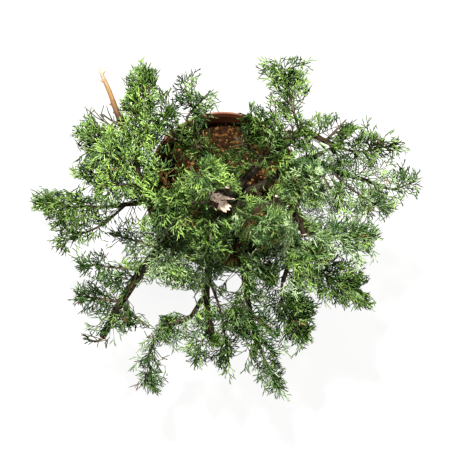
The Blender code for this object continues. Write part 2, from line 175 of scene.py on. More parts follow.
# Each limb: its parent, how far along it, its radius at both ends, and the bends it runs through
LIMBS = (
    ("trunk", None, 0, 19, 11, ((0, 1, 128), (5, 3, 175), (3, -12, 235), (-3, -18, 290), (-6, -17, 326))),
    ("bough_back_left", "trunk", 0.68, 7, 3.6,
     ((-40, -11, 266), (-73, -14, 278), (-92, -4, 290), (-99, 24, 302), (-97, 52, 302))),
    ("bough_left", "trunk", 0.46, 5, 2.6, ((-42, -23, 230), (-88, -18, 236), (-134, -22, 238))),
    ("bough_left_front", "trunk", 0.33, 7.5, 4.2,
     ((-34, -41, 205), (-77, -75, 212), (-105, -109, 206), (-130, -147, 196), (-151, -186, 182))),
    ("bough_front", "trunk", 0.22, 6, 3.6,
     ((-7, -57, 188), (-20, -113, 190), (-19, -154, 182), (-11, -191, 172))),
    ("bough_front_left", "bough_front", 0.64, 3.2, 2.2,
     ((-41, -160, 184), (-64, -170, 182), (-81, -184, 178))),
    ("bough_front_right", "trunk", 0.33, 5, 2.4,
     ((18, -57, 200), (28, -119, 207), (37, -169, 196), (47, -200, 188))),
    ("bough_right_front", "trunk", 0.52, 7, 4.6,
     ((34, -29, 248), (73, -19, 262), (90, -34, 266), (97, -56, 262))),
    ("bough_right_low", "bough_right_front", 0.6, 4.2, 2.6,
     ((83, -56, 250), (81, -84, 238), (72, -115, 226))),
    ("bough_right_back", "trunk", 0.64, 6.5, 2.4,
     ((34, 18, 262), (69, 47, 274), (93, 65, 278), (116, 55, 276), (140, 45, 272))),
    ("bough_right", "trunk", 0.58, 5, 2,
     ((47, 3, 252), (98, 34, 258), (133, 19, 256), (165, 10, 252), (192, 0, 248))),
    ("bough_back", "trunk", 0.8, 5, 2.4, ((-12, 21, 286), (-22, 45, 290), (-38, 66, 290))),
    ("jin", "bough_back_left", 0.9, 4.4, 1.3,
     ((-115, 70, 308), (-122, 88, 313), (-129, 108, 318), (-140, 133, 326))),
)

# Short dead stubs on a limb: limb, share along it, bearing, rise, length and radius
STUBS = (
    ("bough_left_front", 0.16, 150, 30, 24, 4.4), ("bough_right_front", 0.93, -40, -20, 12, 4),
    ("bough_right_front", 0.4, 80, 40, 15, 2.2), ("bough_right_back", 0.6, 150, 20, 13, 2.4),
    ("bough_front", 0.55, 200, 35, 12, 2), ("jin", 0.3, 200, 20, 9, 1.5), ("jin", 0.52, 190, 10, 5.5, 1.2),
    ("trunk", 0.9, 60, 25, 22, 4), ("trunk", 0.5, 20, 15, 25, 3.6),
)

# Torn wood on the trunk's top: its place from the middle, bearing, lean from upright, height and radius
SHARDS = (
    (-9, 11, 292, 60, 11, 2.8), (-7, 8, 290, 56, 9, 2.5), (-4, 4.5, 296, 40, 5, 2.3),
    (-1, 8.5, 60, 12, 3, 4.2), (-4, 6, 352, 62, 12, 2.6), (0, 3, 355, 68, 19, 2.1),
    (-1, 4.6, 357, 64, 13, 2), (-3, 0.8, 348, 62, 12, 2), (5, -5, 326, 58, 11, 3),
    (7, -2.5, 330, 60, 10, 2.6), (3.5, -7.5, 318, 60, 9, 2.6),
)

# Nubs of side twigs left on the dead limb: share, bearing, rise and length
JIN_NUBS = ((0.9, 45, 20, 7), (0.8, 160, 15, 7), (0.42, 200, 20, 5))
JIN_NUB_RADII = (1.7, 1.3, 0.8)

# Dead sprays beside the dead limb, each twig through three points
BARE_SPRAYS = (
    ((-114, 65, 303), (-126, 74, 305), (-137, 82, 307)),
    ((-126, 74, 305), (-130.5, 84, 307), (-132.5, 91, 309)),
    ((-136, 76, 305), (-138.5, 83, 307), (-135.5, 92, 309)),
    ((-131, 71, 304), (-144, 78, 305), (-158, 90, 307)),
    ((-136, 74, 305), (-141, 79, 306), (-148, 87, 307)),
    ((-119, 67, 303), (-127, 68, 304), (-141, 73, 305)),
    ((-126, 67, 303), (-131, 71, 304), (-140, 81, 306)),
    ((-122, 71, 304), (-124.5, 75, 306), (-124.5, 80, 307)),
    ((-146, 72, 303), (-151.5, 84, 306), (-150, 90, 308)),
    ((-127, 74, 305), (-134, 79, 305), (-141, 82, 305)),
    ((-120, 66, 303), (-131, 65, 303), (-143, 67, 303)),
)
BARE_SPRAY_RADII = (1, 0.85, 0.6)

# Dead twigs along the boughs: one to so many mm, and the length from which they fork
BARE_TWIG_SPACING = 8
FORKED_TWIG = 13

# Swellings on a limb: limb, share along it and radius
KNOTS = (
    ("bough_right_back", 0.52, 6.4), ("bough_right_back", 0.66, 5.6), ("bough_right_front", 0.78, 7.4),
    ("bough_left_front", 0.42, 7.6), ("bough_front", 0.5, 6.2), ("bough_back_left", 0.45, 6.8),
    ("jin", 0.12, 5),
)

# Each mass: its limb, how far along it, the bearing, reach and height of its tip, half width and half height
MASSES = (
    ("back_left_top", "bough_back_left", 1.0, 121, 168, 318, 32, 24),
    ("back_left_in", "bough_back_left", 0.93, 120, 104, 306, 24, 18),
    ("back_left_open", "bough_back", 0.8, 110, 139, 290, 18, 14),
    ("back_rim", "bough_back", 1.0, 97, 112, 320, 19, 17),
    ("left_back", "bough_back_left", 0.7, 158, 184, 292, 33, 19),
    ("left_back_low", "bough_back_left", 0.56, 174, 180, 266, 20, 15),
    ("left_far", "bough_left", 1.0, 185, 234, 228, 31, 18),
    ("left_far_low", "bough_left", 0.86, 199, 222, 204, 21, 15),
    ("left_mid", "bough_left_front", 0.36, 199, 156, 226, 21, 15),
    ("left_low", "bough_left_front", 0.52, 207, 202, 212, 20, 13),
    ("front_left_out", "bough_left_front", 0.74, 215, 230, 194, 27, 16),
    ("front_left_in", "bough_left_front", 0.76, 244, 196, 190, 19, 13),
    ("front_left_end", "bough_left_front", 1.0, 226, 260, 176, 14, 11),
    ("front_a", "bough_front_left", 0.4, 243, 196, 191, 28, 17),
    ("front_b", "bough_front_left", 1.0, 251, 282, 158, 25, 16),
    ("front_c", "bough_front", 0.86, 260, 230, 166, 23, 15),
    ("front_d", "bough_front", 0.5, 273, 240, 178, 26, 18),
    ("front_in", "bough_front_right", 0.55, 277, 192, 202, 26, 17),
    ("front_e", "bough_front_right", 1.0, 286, 272, 168, 27, 16),
    ("front_right_in", "bough_front_right", 0.72, 292, 200, 214, 28, 18),
    ("front_right_low", "bough_right_low", 1.0, 299, 222, 198, 37, 22),
    ("front_right", "bough_right_low", 0.62, 324, 232, 216, 32, 20),
    ("right_front", "bough_right_low", 0.3, 342, 202, 240, 28, 18),
    ("right_mid_low", "bough_right", 0.62, 350, 212, 228, 30, 16),
    ("right_mid", "bough_right", 1.0, 2, 238, 244, 22, 15),
    ("right_back", "bough_right_back", 1.0, 13, 216, 282, 26, 17),
    ("right_back_up", "bough_right_back", 0.86, 29, 168, 292, 22, 15),
    ("right_small", "bough_right", 0.42, 20, 140, 280, 19, 13),
    ("right_in", "bough_right", 0.5, 349, 150, 244, 30, 17),
    ("back_right_top", "bough_right_back", 0.64, 67, 162, 300, 31, 17),
    ("back_right_in", "bough_right_back", 0.52, 76, 92, 298, 28, 17),
    ("back_low", "bough_right_back", 0.3, 83, 66, 232, 28, 18),
    ("top_left_a", "bough_back_left", 0.76, 163, 146, 338, 31, 20),
    ("top_left_b", "bough_back_left", 0.62, 180, 146, 322, 30, 20),
    ("top_left_c", "bough_back_left", 0.5, 157, 80, 330, 24, 18),
    ("back_inner", "bough_back", 0.6, 141, 100, 300, 28, 18),
    ("crown", "trunk", 0.93, 148, 32, 396, 42, 36),
    ("top_right", "bough_right_front", 0.62, 14, 112, 314, 38, 23),
    ("right_inner", "trunk", 0.88, 322, 84, 328, 32, 24),
    ("right_low_inner", "bough_right_low", 0.24, 322, 156, 262, 32, 20),
    ("front_inner", "trunk", 0.8, 256, 84, 334, 36, 24),
    ("left_inner", "trunk", 0.84, 194, 88, 312, 30, 20),
    ("front_left_inner", "bough_left_front", 0.3, 252, 126, 242, 36, 24),
    ("front_mid_inner", "bough_front", 0.36, 262, 96, 262, 34, 28),
    ("front_right_inner", "bough_front_right", 0.4, 304, 108, 264, 36, 32),
)

# Growth rule of the masses, as in the part's source: stems, shoots and toothed sprays
TRUNK_SIDES = 10
STEM_RADIUS = 2.1
STEM_TIP_RADIUS = 0.8
STEM_RINGS = 5
STEM_LIMIT = 0.95
STEM_AIM = 0.3
STEM_LIFT = 0.1
STEM_KNEE = 0.35
STEM_FAR = 0.25
STEM_SHORT = 0.16
SPACING = 7.5
FEWEST_SHOOTS = 5
MOST_SHOOTS = 13
FIRST_SHOOT = 0.16
LAST_SHOOT = 0.93
TWIG_RADIUS = 1.3
TWIG_TIP_RADIUS = 0.7
SHOOT_LEANS = (74, 36)
LEAN_DRIFT = 12
SIDE_DRIFT = (0.4, 0.8)
UPPER_DRIFT = 0.7
LONGEST_SPRAY = 60
SHORTEST_SPRAY = 13
SPRAY_THICKNESS = 1.7
SPRAY_SINK = 0.7
SPRAY_DROP = 0.25
SPRAY_RIDGE = 0.12
SPRAY_TILT = 0.75
STEEP = 0.8
FAR_SPRAY = 0.72
LONE_SPRAY = 0.9
OWN_SPACE_MARGIN = 0.02
OWN_LIMIT = 1.25
CLEARANCE = 0.5
TRIES = 5
SIZES = (1, 0.8, 0.62)
ROUNDNESS = 2.8
BEYOND = 1.12
SPRAY_EDGE = ((0.42, 0.29), (0.44, 0.125), (0.72, 0.215), (0.7, 0.075), (1, 0))

# The finer growth: more shoots between the source's, branchlets along each shoot, and scale leaf tips on them
EXTRA_SHOOTS = 3.2
EXTRA_SPAN = (0.03, 0.94)
EXTRA_TURN = 2.4
EXTRA_SIDE_DRIFT = 0.6
EXTRA_LEAN_DRIFT = 16
EXTRA_REACH = (0.7, 1.05)
SHORTEST_EXTRA = 12
LONGEST_EXTRA = 1.2
SHOOT_LIFT = (0.02, 0.12)
BRANCHLET_SPACING = 4.0
BRANCHLET_LEAN = 44
BRANCHLET_DRIFT = 12
BRANCHLET_TURN = -12
BRANCHLET_LENGTHS = (0.65, 1.15)
BRANCHLET_LIFT = (-0.02, 0.13)
LONGEST_BRANCHLET = 32
SHORTEST_BRANCHLET = 8
STUNTED_BRANCHLET = 6
TIP_SPACING = 3.9
TIP_LEAN = 32
TIP_DRIFT = (-9, 12)
TIP_LENGTH = (10, 16)
TIP_RADIUS = 0.7
FORKED_TIPS = 0.45
BEYOND_END = 5
NEEDLE_LENGTH = (8.5, 14)
NEEDLE_RADIUS = 0.6
NEEDLE_SPREAD = 12
PAIRED_NEEDLES = 0.5
LIMB_MARGIN = 1.2
TRIANGLES_A_PIECE = 190000

# Shares along a strand and its radius there, with closed points at both ends
STRAND_SHAPES = {
    "cord": ((0, 0), (0.04, 1), (0.5, 0.95), (0.96, 0.75), (1, 0)),
    "tip": ((0, 0), (0.12, 0.85), (0.62, 1), (1, 0)),
    "needle": ((0, 0), (0.3, 1), (1, 0)),
}
STRAND_SIDES = 3

# Short sprays on the boughs: limb, from and to what share of it, how many, the longest, and whose look
LIMB_SPRAYS = (
    ("bough_back_left", 0.05, 0.5, 20, 34, "back_left_in"),
    ("bough_back_left", 0.4, 1.0, 34, 42, "top_left_a"),
    ("bough_left", 0.05, 0.6, 26, 46, "left_inner"),
    ("bough_left", 0.6, 0.97, 12, 36, "left_far"),
    ("bough_left_front", 0.06, 0.5, 34, 44, "front_left_inner"),
    ("bough_left_front", 0.5, 0.9, 34, 26, "front_left_out"),
    ("bough_front", 0.08, 0.6, 30, 48, "front_left_inner"),
    ("bough_front", 0.6, 0.98, 12, 32, "front_d"),
    ("bough_front_left", 0.05, 0.95, 14, 36, "front_a"),
    ("bough_front_right", 0.05, 0.95, 34, 44, "front_in"),
    ("bough_right_front", 0.3, 0.98, 26, 46, "right_inner"),
    ("bough_right_low", 0.02, 0.95, 36, 46, "right_low_inner"),
    ("bough_right_back", 0.3, 0.95, 34, 40, "back_right_in"),
    ("bough_right", 0.3, 0.95, 34, 40, "right_in"),
    ("bough_back", 0.1, 0.95, 14, 34, "back_inner"),
    ("trunk", 0.35, 0.93, 26, 44, "left_inner"),
)
SHORTEST_LIMB_SPRAY = 16

# Single sprays: the limb or mass they grow on, the mass they look like where that is another one, then the
# share along it, bearing, rise and length of each
SPRIGS = (
    ("bough_right", "right_mid_low", (0.5, 278, -5, 46), (0.57, 300, 0, 44), (0.64, 285, -10, 50)),
    ("bough_right", "right_mid", (0.72, 268, 5, 44)),
    ("bough_right", "right_in", (0.6, 262, 10, 52)),
    ("bough_right_front", "front_right_inner", (0.5, 250, -5, 52), (0.62, 262, 0, 46), (0.8, 236, 0, 44),
     (0.42, 268, 5, 42)),
    ("bough_right_low", "front_right_inner", (0.1, 205, 0, 44), (0.3, 190, 0, 40)),
    ("bough_right_back", "back_low", (0.3, 270, 50, 26), (0.38, 200, 40, 30), (0.24, 20, 50, 26)),
    ("bough_right_back", "back_right_in", (0.44, 240, 50, 26)),
    ("bough_right_back", "back_low", (0.2, 160, 30, 30), (0.26, 190, 40, 26), (0.14, 120, 50, 26),
     (0.3, 100, 30, 34)),
    ("bough_right", "back_low", (0.08, 100, 60, 24)),
    ("bough_right", "right_in", (0.16, 200, 55, 24), (0.28, 300, 30, 30), (0.36, 250, 20, 36)),
    ("bough_right_back", "right_small", (0.6, 330, 15, 34), (0.7, 280, 20, 30)),
    ("back_right_top", "", (0.75, 160, 5, 24), (0.9, 165, 5, 20), (0.96, 15, 5, 29), (0.6, 58, 5, 32),
     (0.45, 60, 5, 28)),
    ("back_left_top", "", (0.85, 95, 5, 18), (0.5, 125, 5, 30)),
    ("back_left_open", "back_left_in", (0.7, 60, 5, 22)),
    ("back_left_in", "back_left_open", (0.7, 75, 0, 30), (0.9, 100, 0, 28), (0.95, 45, 0, 26),
     (0.98, 0, 0, 24)),
    ("left_back", "", (0.4, 72, 5, 38), (0.65, 85, 5, 34), (0.85, 95, 5, 26)),
    ("right_back", "", (0.85, 350, 5, 18)),
    ("right_mid", "", (0.4, 70, 5, 24)),
    ("right_front", "", (0.5, 95, 5, 24), (0.8, 80, 5, 24), (0.95, 300, 0, 22), (0.8, 275, 0, 32)),
    ("front_right_low", "", (0.55, 20, 0, 30), (0.3, 200, 0, 24), (0.5, 240, 0, 28), (0.85, 265, 0, 24)),
    ("front_b", "", (0.35, 215, 0, 24), (0.65, 225, 0, 20)),
    ("front_c", "", (0.3, 160, 0, 22)),
    ("front_d", "", (0.75, 215, 0, 26)),
    ("front_e", "", (0.9, 300, 0, 12)),
    ("bough_left_front", "front_left_end", (0.93, 170, 5, 20)),
    ("bough_left_front", "front_left_in", (0.74, 290, 5, 30), (0.72, 335, 10, 24)),
    ("bough_left_front", "left_low", (0.6, 165, 15, 42), (0.66, 150, 5, 38)),
    ("bough_front_left", "front_a", (0.9, 240, 5, 40)),
    ("bough_back_left", "back_left_in", (0.92, 30, 25, 40), (0.96, 60, 20, 42), (0.9, 95, 35, 34)),
    ("back_right_top", "", (0.97, 122, 0, 17), (0.97, 150, 0, 22), (0.85, 140, 0, 26)),
    ("left_far_low", "", (0.5, 112, 0, 14)),
    ("left_far", "", (0.35, 262, 0, 17), (0.95, 75, 0, 16)),
    ("left_far_low", "", (0.95, 125, 0, 18)),
    ("left_low", "", (0.5, 110, 0, 13), (0.98, 135, 0, 12)),
    ("front_right_in", "", (0.98, 290, 0, 13)),
    ("front_e", "", (0.1, 15, 0, 24)),
    ("front_d", "", (0.98, 265, 0, 12)),
    ("front_c", "", (0.4, 190, 0, 24)),
    ("front_right", "", (0.5, 252, 0, 28)),
    ("right_back", "", (0.4, 85, 0, 22), (0.95, 265, -5, 13)),
    ("right_back_up", "", (0.3, 110, 0, 17)),
    ("right_mid_low", "", (0.5, 240, 0, 22)),
    ("right_mid", "", (0.5, 245, 0, 17)),
    ("back_left_open", "", (0.98, 40, 0, 13)),
    ("back_right_in", "", (0.3, 85, 0, 22)),
    ("back_right_top", "", (0.9, 45, 0, 18)),
    ("left_back_low", "", (0.6, 200, 0, 16), (0.9, 235, 0, 14)),
    ("right_back_up", "", (0.1, 120, 0, 18)),
    ("back_rim", "", (0.95, 300, 0, 13)),
    ("front_right_inner", "back_low", (0.9, 62, 0, 24), (0.7, 50, 0, 30)),
    ("left_inner", "front_inner", (0.35, 262, 0, 28), (0.6, 275, 0, 32), (0.85, 255, 0, 26)),
    ("right_mid_low", "", (0.25, 230, 0, 16)),
    ("back_right_top", "", (0.98, 95, 0, 15)),
    ("bough_left", "left_inner", (0.5, 262, 5, 20)),
    ("left_back_low", "", (0.8, 184, 2, 21)),
    ("bough_front", "front_d", (0.9, 46, 2, 20)),
    ("bough_left", "left_mid", (0.6, 203, 2, 19)),
    ("right_back", "", (0.6, 105, 2, 32)),
    ("right_in", "", (0.95, 311, 2, 27)),
    ("bough_right", "right_mid", (0.95, 4, 2, 20)),
    ("left_far_low", "", (0.45, 167, 2, 19)),
    ("front_right_low", "", (0.1, 191, 2, 30)),
    ("right_in", "", (0.95, 237, 2, 25)),
    ("front_right_in", "", (0.45, 52, 2, 23)),
    ("back_right_top", "", (0.35, 197, 2, 26)),
    ("bough_right", "right_back", (0.8, 82, 2, 22)),
)

# Sprays of dead foliage low in the crown: what they grow on, share along it, bearing, rise and length
DEAD_SPRAYS = (
    ("bough_right_front", 0.06, 268, 20, 25), ("bough_right_front", 0.14, 300, 35, 17),
    ("bough_front_right", 0.19, 235, 40, 22), ("bough_front_right", 0.26, 215, 40, 20),
    ("bough_back_left", 0.31, 98, 5, 27), ("bough_back_left", 0.36, 112, 5, 22),
    ("left_inner", 0.3, 272, -5, 17),
)
DEAD_MASS = "front_inner"
DEAD_LOOK = ("dead", 0, False)

# Openings seen from above that stay clear of foliage, in picture pixels: centre and half size
OPENINGS = (
    (116, 216, 8, 7), (116, 250, 6, 7), (146, 329, 5, 6), (164, 352, 6, 6), (302, 94, 5, 6),
    (38, 220, 5, 6), (290, 377, 5, 6), (368, 287, 6, 5), (345, 117, 6, 6), (98, 232, 5, 5), (92, 274, 5, 5),
    (386, 165, 5, 5), (122, 279, 4, 5), (140, 280, 5, 4), (62, 244, 5, 4), (336, 128, 8, 8),
    (128, 214, 15, 10), (150, 301, 28, 14), (182, 301, 18, 10), (230, 283, 12, 10), (328, 86, 12, 24),
    (331, 131, 11, 11), (333, 181, 10, 7), (310, 238, 9, 6), (287, 280, 7, 9), (107, 194, 7, 5),
    (152, 318, 5, 7), (114, 338, 8, 7), (240, 364, 9, 8), (70, 152, 6, 12), (60, 183, 24, 5),
    (384, 127, 9, 5), (243, 108, 6, 5), (380, 289, 9, 14), (362, 316, 16, 4), (323, 322, 6, 13),
    (188, 109, 6, 7), (165, 79, 5, 10), (108, 92, 9, 26), (227, 135, 15, 14), (257, 181, 11, 11),
    (166, 177, 6, 12), (250, 226, 7, 8), (262, 210, 7, 5), (232, 261, 7, 6), (226, 201, 18, 11),
    (322, 142, 10, 6), (342, 118, 6, 5), (364, 167, 6, 6), (391, 135, 5, 5), (309, 111, 4, 8),
    (159, 354, 6, 5), (120, 88, 4, 10), (204, 84, 6, 10), (168, 368, 5, 8), (142, 283, 6, 4),
    (87, 190, 6, 4), (79, 156, 5, 6), (244, 352, 5, 5), (362, 256, 5, 4), (287, 64, 4, 5), (381, 247, 5, 8),
    (317, 335, 5, 5), (93, 322, 5, 4), (107, 241, 5, 6), (68, 248, 5, 4), (188, 312, 5, 6),
    (330, 191, 4, 5), (377, 175, 4, 5), (157, 284, 5, 4), (105, 114, 11, 8), (138, 336, 6, 4),
    (139, 173, 4, 12), (168, 142, 5, 9), (149, 216, 4, 8), (300, 221, 6, 9), (304, 232, 6, 6),
    (209, 304, 5, 14), (212, 328, 4, 8), (330, 142, 7, 5), (72, 249, 7, 4), (300, 98, 4, 4),
)

# Share of the usual number of shoots and branchlets, for the masses that are more open
DENSITY = {
    "right_back": 0.65, "right_mid": 0.6, "right_mid_low": 0.5, "right_in": 0.7, "right_back_up": 0.7,
    "right_small": 0.6, "front_b": 0.75, "front_left_end": 0.6, "left_low": 0.92, "left_mid": 0.92,
    "left_far_low": 0.85, "back_left_open": 0.45, "back_rim": 0.65, "back_low": 0.6, "back_inner": 0.8,
    "front_mid_inner": 0.6, "front_left_inner": 0.8, "front_left_in": 0.8, "front_right_inner": 0.75,
}

# Greens from the youngest tips to the shaded inside, the bluer ones of the back and right, and dead browns
FAMILIES = {
    "green": ("bright", "fresh", "mid", "deep", "shade"),
    "blue": ("frost", "blue", "slate", "deep", "shade"),
    "dead": ("rust", "rust", "rust", "dry", "dry"),
}
TONES = {
    "bright": (0.232, 0.4, 0.07),
    "fresh": (0.147, 0.255, 0.055),
    "mid": (0.065, 0.128, 0.021),
    "deep": (0.015, 0.042, 0.003),
    "shade": (0.004, 0.011, 0.0004),
    "frost": (0.31, 0.44, 0.22),
    "blue": (0.155, 0.255, 0.092),
    "slate": (0.048, 0.108, 0.029),
    "dry": (0.13, 0.08, 0.034),
    "rust": (0.21, 0.095, 0.028),
}

# How many steps down its family a spray's tone lies: at the surface, and more towards its shoot's base;
# painted shade takes it further down where it hangs, lies deep in its mass's space or low in it
SURFACE = -0.35
DEEPER = {"inwards": 0.4, "hanging": 0.7, "middle": 1.6, "underside": 1.1}
SHOOT_SPREAD = 0.5
TONE_SPREAD = 1.1
BLUE_STEP = 0.9

# Share of the shoots in a mass that take the other family, and share of the branchlets that are dry
STRAY_SHARE = 0.3
DRY_SHARE = 0.008

# How much of its space the foliage of a mass fills, where that isn't all of it
FILLS = {
    "crown": 0.7, "front_inner": 0.85, "front_b": 0.9, "front_c": 0.85, "front_d": 0.85, "front_in": 0.9,
    "front_e": 0.88, "front_right_low": 0.9, "front_right_in": 0.9, "back_left_top": 0.88,
    "back_right_top": 0.85, "front_left_end": 0.75, "front_left_out": 0.95,
}
USUAL_FILL = 1.04

# Family of each mass, whether it bears young needles, and how far down its family its tones begin
DEFAULT_LOOK = ("green", 1.8, False)
LEVELS = (
    ("green", False, {
        "crown": -0.3, "back_right_top": 1.3, "top_left_a": 0.4, "top_left_b": 0.4, "top_left_c": 0.4,
        "back_left_top": 0.9, "back_left_in": 1.9, "left_back": 1.0, "left_back_low": 1.3, "left_far": 1.1,
        "left_far_low": 1.2, "front_left_in": 2.3, "back_left_open": 2.2, "front_inner": 1.0,
        "left_inner": 1.5, "back_low": 2.7, "back_inner": 2.7,
    }),
    ("blue", False, {
        "left_mid": 1.8, "left_low": 2.1, "front_left_out": 2.2, "front_a": 1.5, "front_b": 1.5,
        "front_c": 1.2, "front_e": 1.3, "right_front": 1.1, "right_low_inner": 1.0, "back_rim": 1.4,
        "right_mid": 1.3, "right_mid_low": 1.1, "front_right_inner": 1.4, "front_mid_inner": 0.7,
        "front_left_inner": 0.6,
    }),
    ("blue", True, {
        "top_right": 1.1, "right_inner": 1.4, "right_small": 1.0, "right_in": 1.4, "front_right_in": 1.6,
    }),
)
LOOKS = {
    name: (family, level, needles)
    for family, needles, levels in LEVELS for name, level in levels.items()
}

# A limb with its end directions, a mass with its stem and its space, and a piece of wood
Limb = namedtuple("Limb", "line radii first last")
Mass = namedtuple("Mass", "line radii way room number")
Wood = namedtuple("Wood", "line radii cut first last", defaults=(False, None, None))


def operator(operation, reflected=False):
    """A method that adds a Math node, with its sides swapped in the reflected form."""
    def method(self, other):
        first, second = (other, self) if reflected else (self, other)
        return self.paint.node("Math", {"operation": operation}, {0: first, 1: second})
    return method


class Wire:
    """A socket in shader maths: an operator on it adds a Math node."""

    def __init__(self, paint, socket):
        self.paint = paint
        self.socket = socket

    __add__, __radd__ = operator("ADD"), operator("ADD", True)
    __sub__, __rsub__ = operator("SUBTRACT"), operator("SUBTRACT", True)
    __mul__, __rmul__ = operator("MULTIPLY"), operator("MULTIPLY", True)


class Paint:
    """A material being made, with its Principled shader."""

    def __init__(self, name, roughness, specular):
        self.material = bpy.data.materials.new(name)
        self.material.use_nodes = True
        self.tree = self.material.node_tree
        self.shader = self.tree.nodes["Principled BSDF"]
        self.give("Roughness", roughness)
        self.give("Specular IOR Level", specular)

    def feed(self, socket, value):
        if isinstance(value, Wire):
            self.tree.links.new(value.socket, socket)
        elif isinstance(value, tuple) and len(value) == 3 and socket.type == "RGBA":
            socket.default_value = (*value, 1)
        else:
            socket.default_value = value

    def give(self, name, value):
        """Sets or links one socket of the shader."""
        self.feed(self.shader.inputs[name], value)

    def node(self, kind, settings, inputs, output=0):
        """A node of a kind, its settings made first, then the values or links of its sockets."""
        made = self.tree.nodes.new("ShaderNode" + kind)
        for name, value in settings.items():
            setattr(made, name, value)
        for name, value in inputs.items():
            self.feed(made.inputs[name], value)
        return Wire(self, made.outputs[output])

    def place(self):
        return self.node("TexCoord", {}, {}, "Object")

    def reading(self, attribute):
        """A number stored on the mesh."""
        return self.node("Attribute", {"attribute_name": attribute}, {}, "Fac")

    def noise(self, scale, detail=3, stretch=(1, 1, 1)):
        moved = self.node("Mapping", {}, {"Vector": self.place(), "Scale": stretch})
        return self.node("TexNoise", {}, {"Vector": moved, "Scale": scale, "Detail": detail}, "Fac")

    def ramp(self, value, stops):
        """Colours by value, each stop with its place and colour."""
        made = self.node("ValToRGB", {}, {"Fac": value}, "Color")
        elements = made.socket.node.color_ramp.elements
        for place, _ in stops[len(elements):]:
            elements.new(place)
        for element, (place, colour) in zip(elements, stops):
            element.position = place
            element.color = (*colour, 1)
        return made

    def mix(self, share, first, second):
        """Colours mixed by a share, 0 for the first."""
        return self.node("Mix", {"data_type": "RGBA"}, {0: share, 6: first, 7: second}, 2)

    def step(self, value, low, high):
        """0 below low, 1 above high and even between."""
        inputs = {"Value": value, "From Min": low, "From Max": high}
        return self.node("MapRange", {"interpolation_type": "SMOOTHSTEP"}, inputs, "Result")

    def bump(self, height, distance, strength=1.0):
        inputs = {"Height": height, "Distance": distance, "Strength": strength}
        self.give("Normal", self.node("Bump", {}, inputs, "Normal"))

    def colour(self, value):
        self.give("Base Color", value)
        return self.material


def leaf_paint(name, colour):
    """Scale leaves: one green with small drifts of it, and the fine cross grain of the scales."""
    paint = Paint("leaf_" + name, 0.42, 0.01 + 0.82 * min(colour[1], 0.4))
    drift = paint.noise(55, 2)
    grain = paint.noise(900, 1)
    darker = tuple(c * 0.72 for c in colour)
    lighter = (colour[0] * 1.3 + 0.01, colour[1] * 1.2 + 0.01, colour[2] * 1.25 + 0.008)
    base = paint.mix(paint.step(drift, 0.36, 0.64), darker, lighter)
    paint.bump(grain, 0.0003, 0.5)
    return paint.colour(paint.mix(paint.step(grain, 0.4, 0.7) * 0.35, base, darker))


def bark_paint():
    """Grey brown bark in strips, dark furrows, pale bare wood where it is cut or torn."""
    paint = Paint("bark", 0.85, 0.12)
    ridge = paint.reading("ridge")
    drift = paint.noise(38, 3)
    strips = paint.ramp(ridge, (
        (0.2, (0.003, 0.002, 0.001)), (0.4, (0.01, 0.008, 0.004)),
        (0.56, (0.019, 0.016, 0.009)), (0.8, (0.052, 0.045, 0.028)),
    ))
    rusty = paint.mix(paint.step(drift, 0.45, 0.68) * 0.5, strips, (0.034, 0.018, 0.009))
    wood = paint.ramp(ridge, (
        (0.22, (0.09, 0.04, 0.02)), (0.32, (0.34, 0.2, 0.135)), (0.44, (0.66, 0.52, 0.43)),
    ))
    torn = paint.reading("bare") + (paint.noise(170, 2) - 0.5) * 0.5
    heart = paint.ramp(ridge, (
        (0.3, (0.012, 0.006, 0.004)), (0.5, (0.05, 0.026, 0.018)), (0.66, (0.15, 0.1, 0.08)),
    ))
    inner = paint.mix(paint.step(torn, 0.12, 0.35), rusty, heart)
    paint.bump(paint.noise(420, 4) + ridge, 0.0004)
    return paint.colour(paint.mix(paint.step(torn, 0.42, 0.66), inner, wood))


def dead_paint():
    """Stripped dead limb: dark at its root, partly painted shade where the foliage covers it, tan along it
    and bleached towards the tip.
    """
    paint = Paint("dead_wood", 0.6, 0.4)
    ridge = paint.reading("ridge")
    along_limb = paint.reading("along") + (paint.noise(60, 2) - 0.5) * 0.14
    # Near black over the root half, partly painted shade under the foliage, then tan and bleached towards the
    # tip
    body = paint.ramp(along_limb, (
        (0.4, (0.016, 0.007, 0.003)), (0.5, (0.075, 0.03, 0.008)), (0.6, (0.21, 0.105, 0.028)),
        (0.74, (0.235, 0.14, 0.052)), (0.86, (0.28, 0.195, 0.108)), (0.97, (0.38, 0.32, 0.24)),
    ))
    furrows = paint.step(ridge, 0.3, 0.62)
    paint.bump(ridge, 0.0004)
    return paint.colour(paint.mix(0.45 - furrows * 0.45, body, (0.15, 0.08, 0.034)))


def wood_paint(name, roughness, specular, drift, grain, stops):
    """Bark of thin wood: its noises as scale and detail, the height of its grain, and its colours."""
    paint = Paint(name, roughness, specular)
    colour = paint.ramp(paint.noise(*drift), stops)
    scale, detail, height = grain
    paint.bump(paint.noise(scale, detail), height)
    return paint.colour(colour)


def twig_paint():
    return wood_paint("twig_bark", 0.8, 0.3, (70, 3), (700, 3, 0.0003), (
        (0.3, (0.018, 0.012, 0.007)), (0.5, (0.05, 0.034, 0.021)), (0.72, (0.14, 0.11, 0.08)),
    ))


def shoot_paint():
    """Young wood between brown and green."""
    return wood_paint("shoot_bark", 0.75, 0.2, (60, 2), (900, 2, 0.0002), (
        (0.3, (0.016, 0.018, 0.006)), (0.52, (0.04, 0.042, 0.014)), (0.7, (0.08, 0.058, 0.026)),
    ))


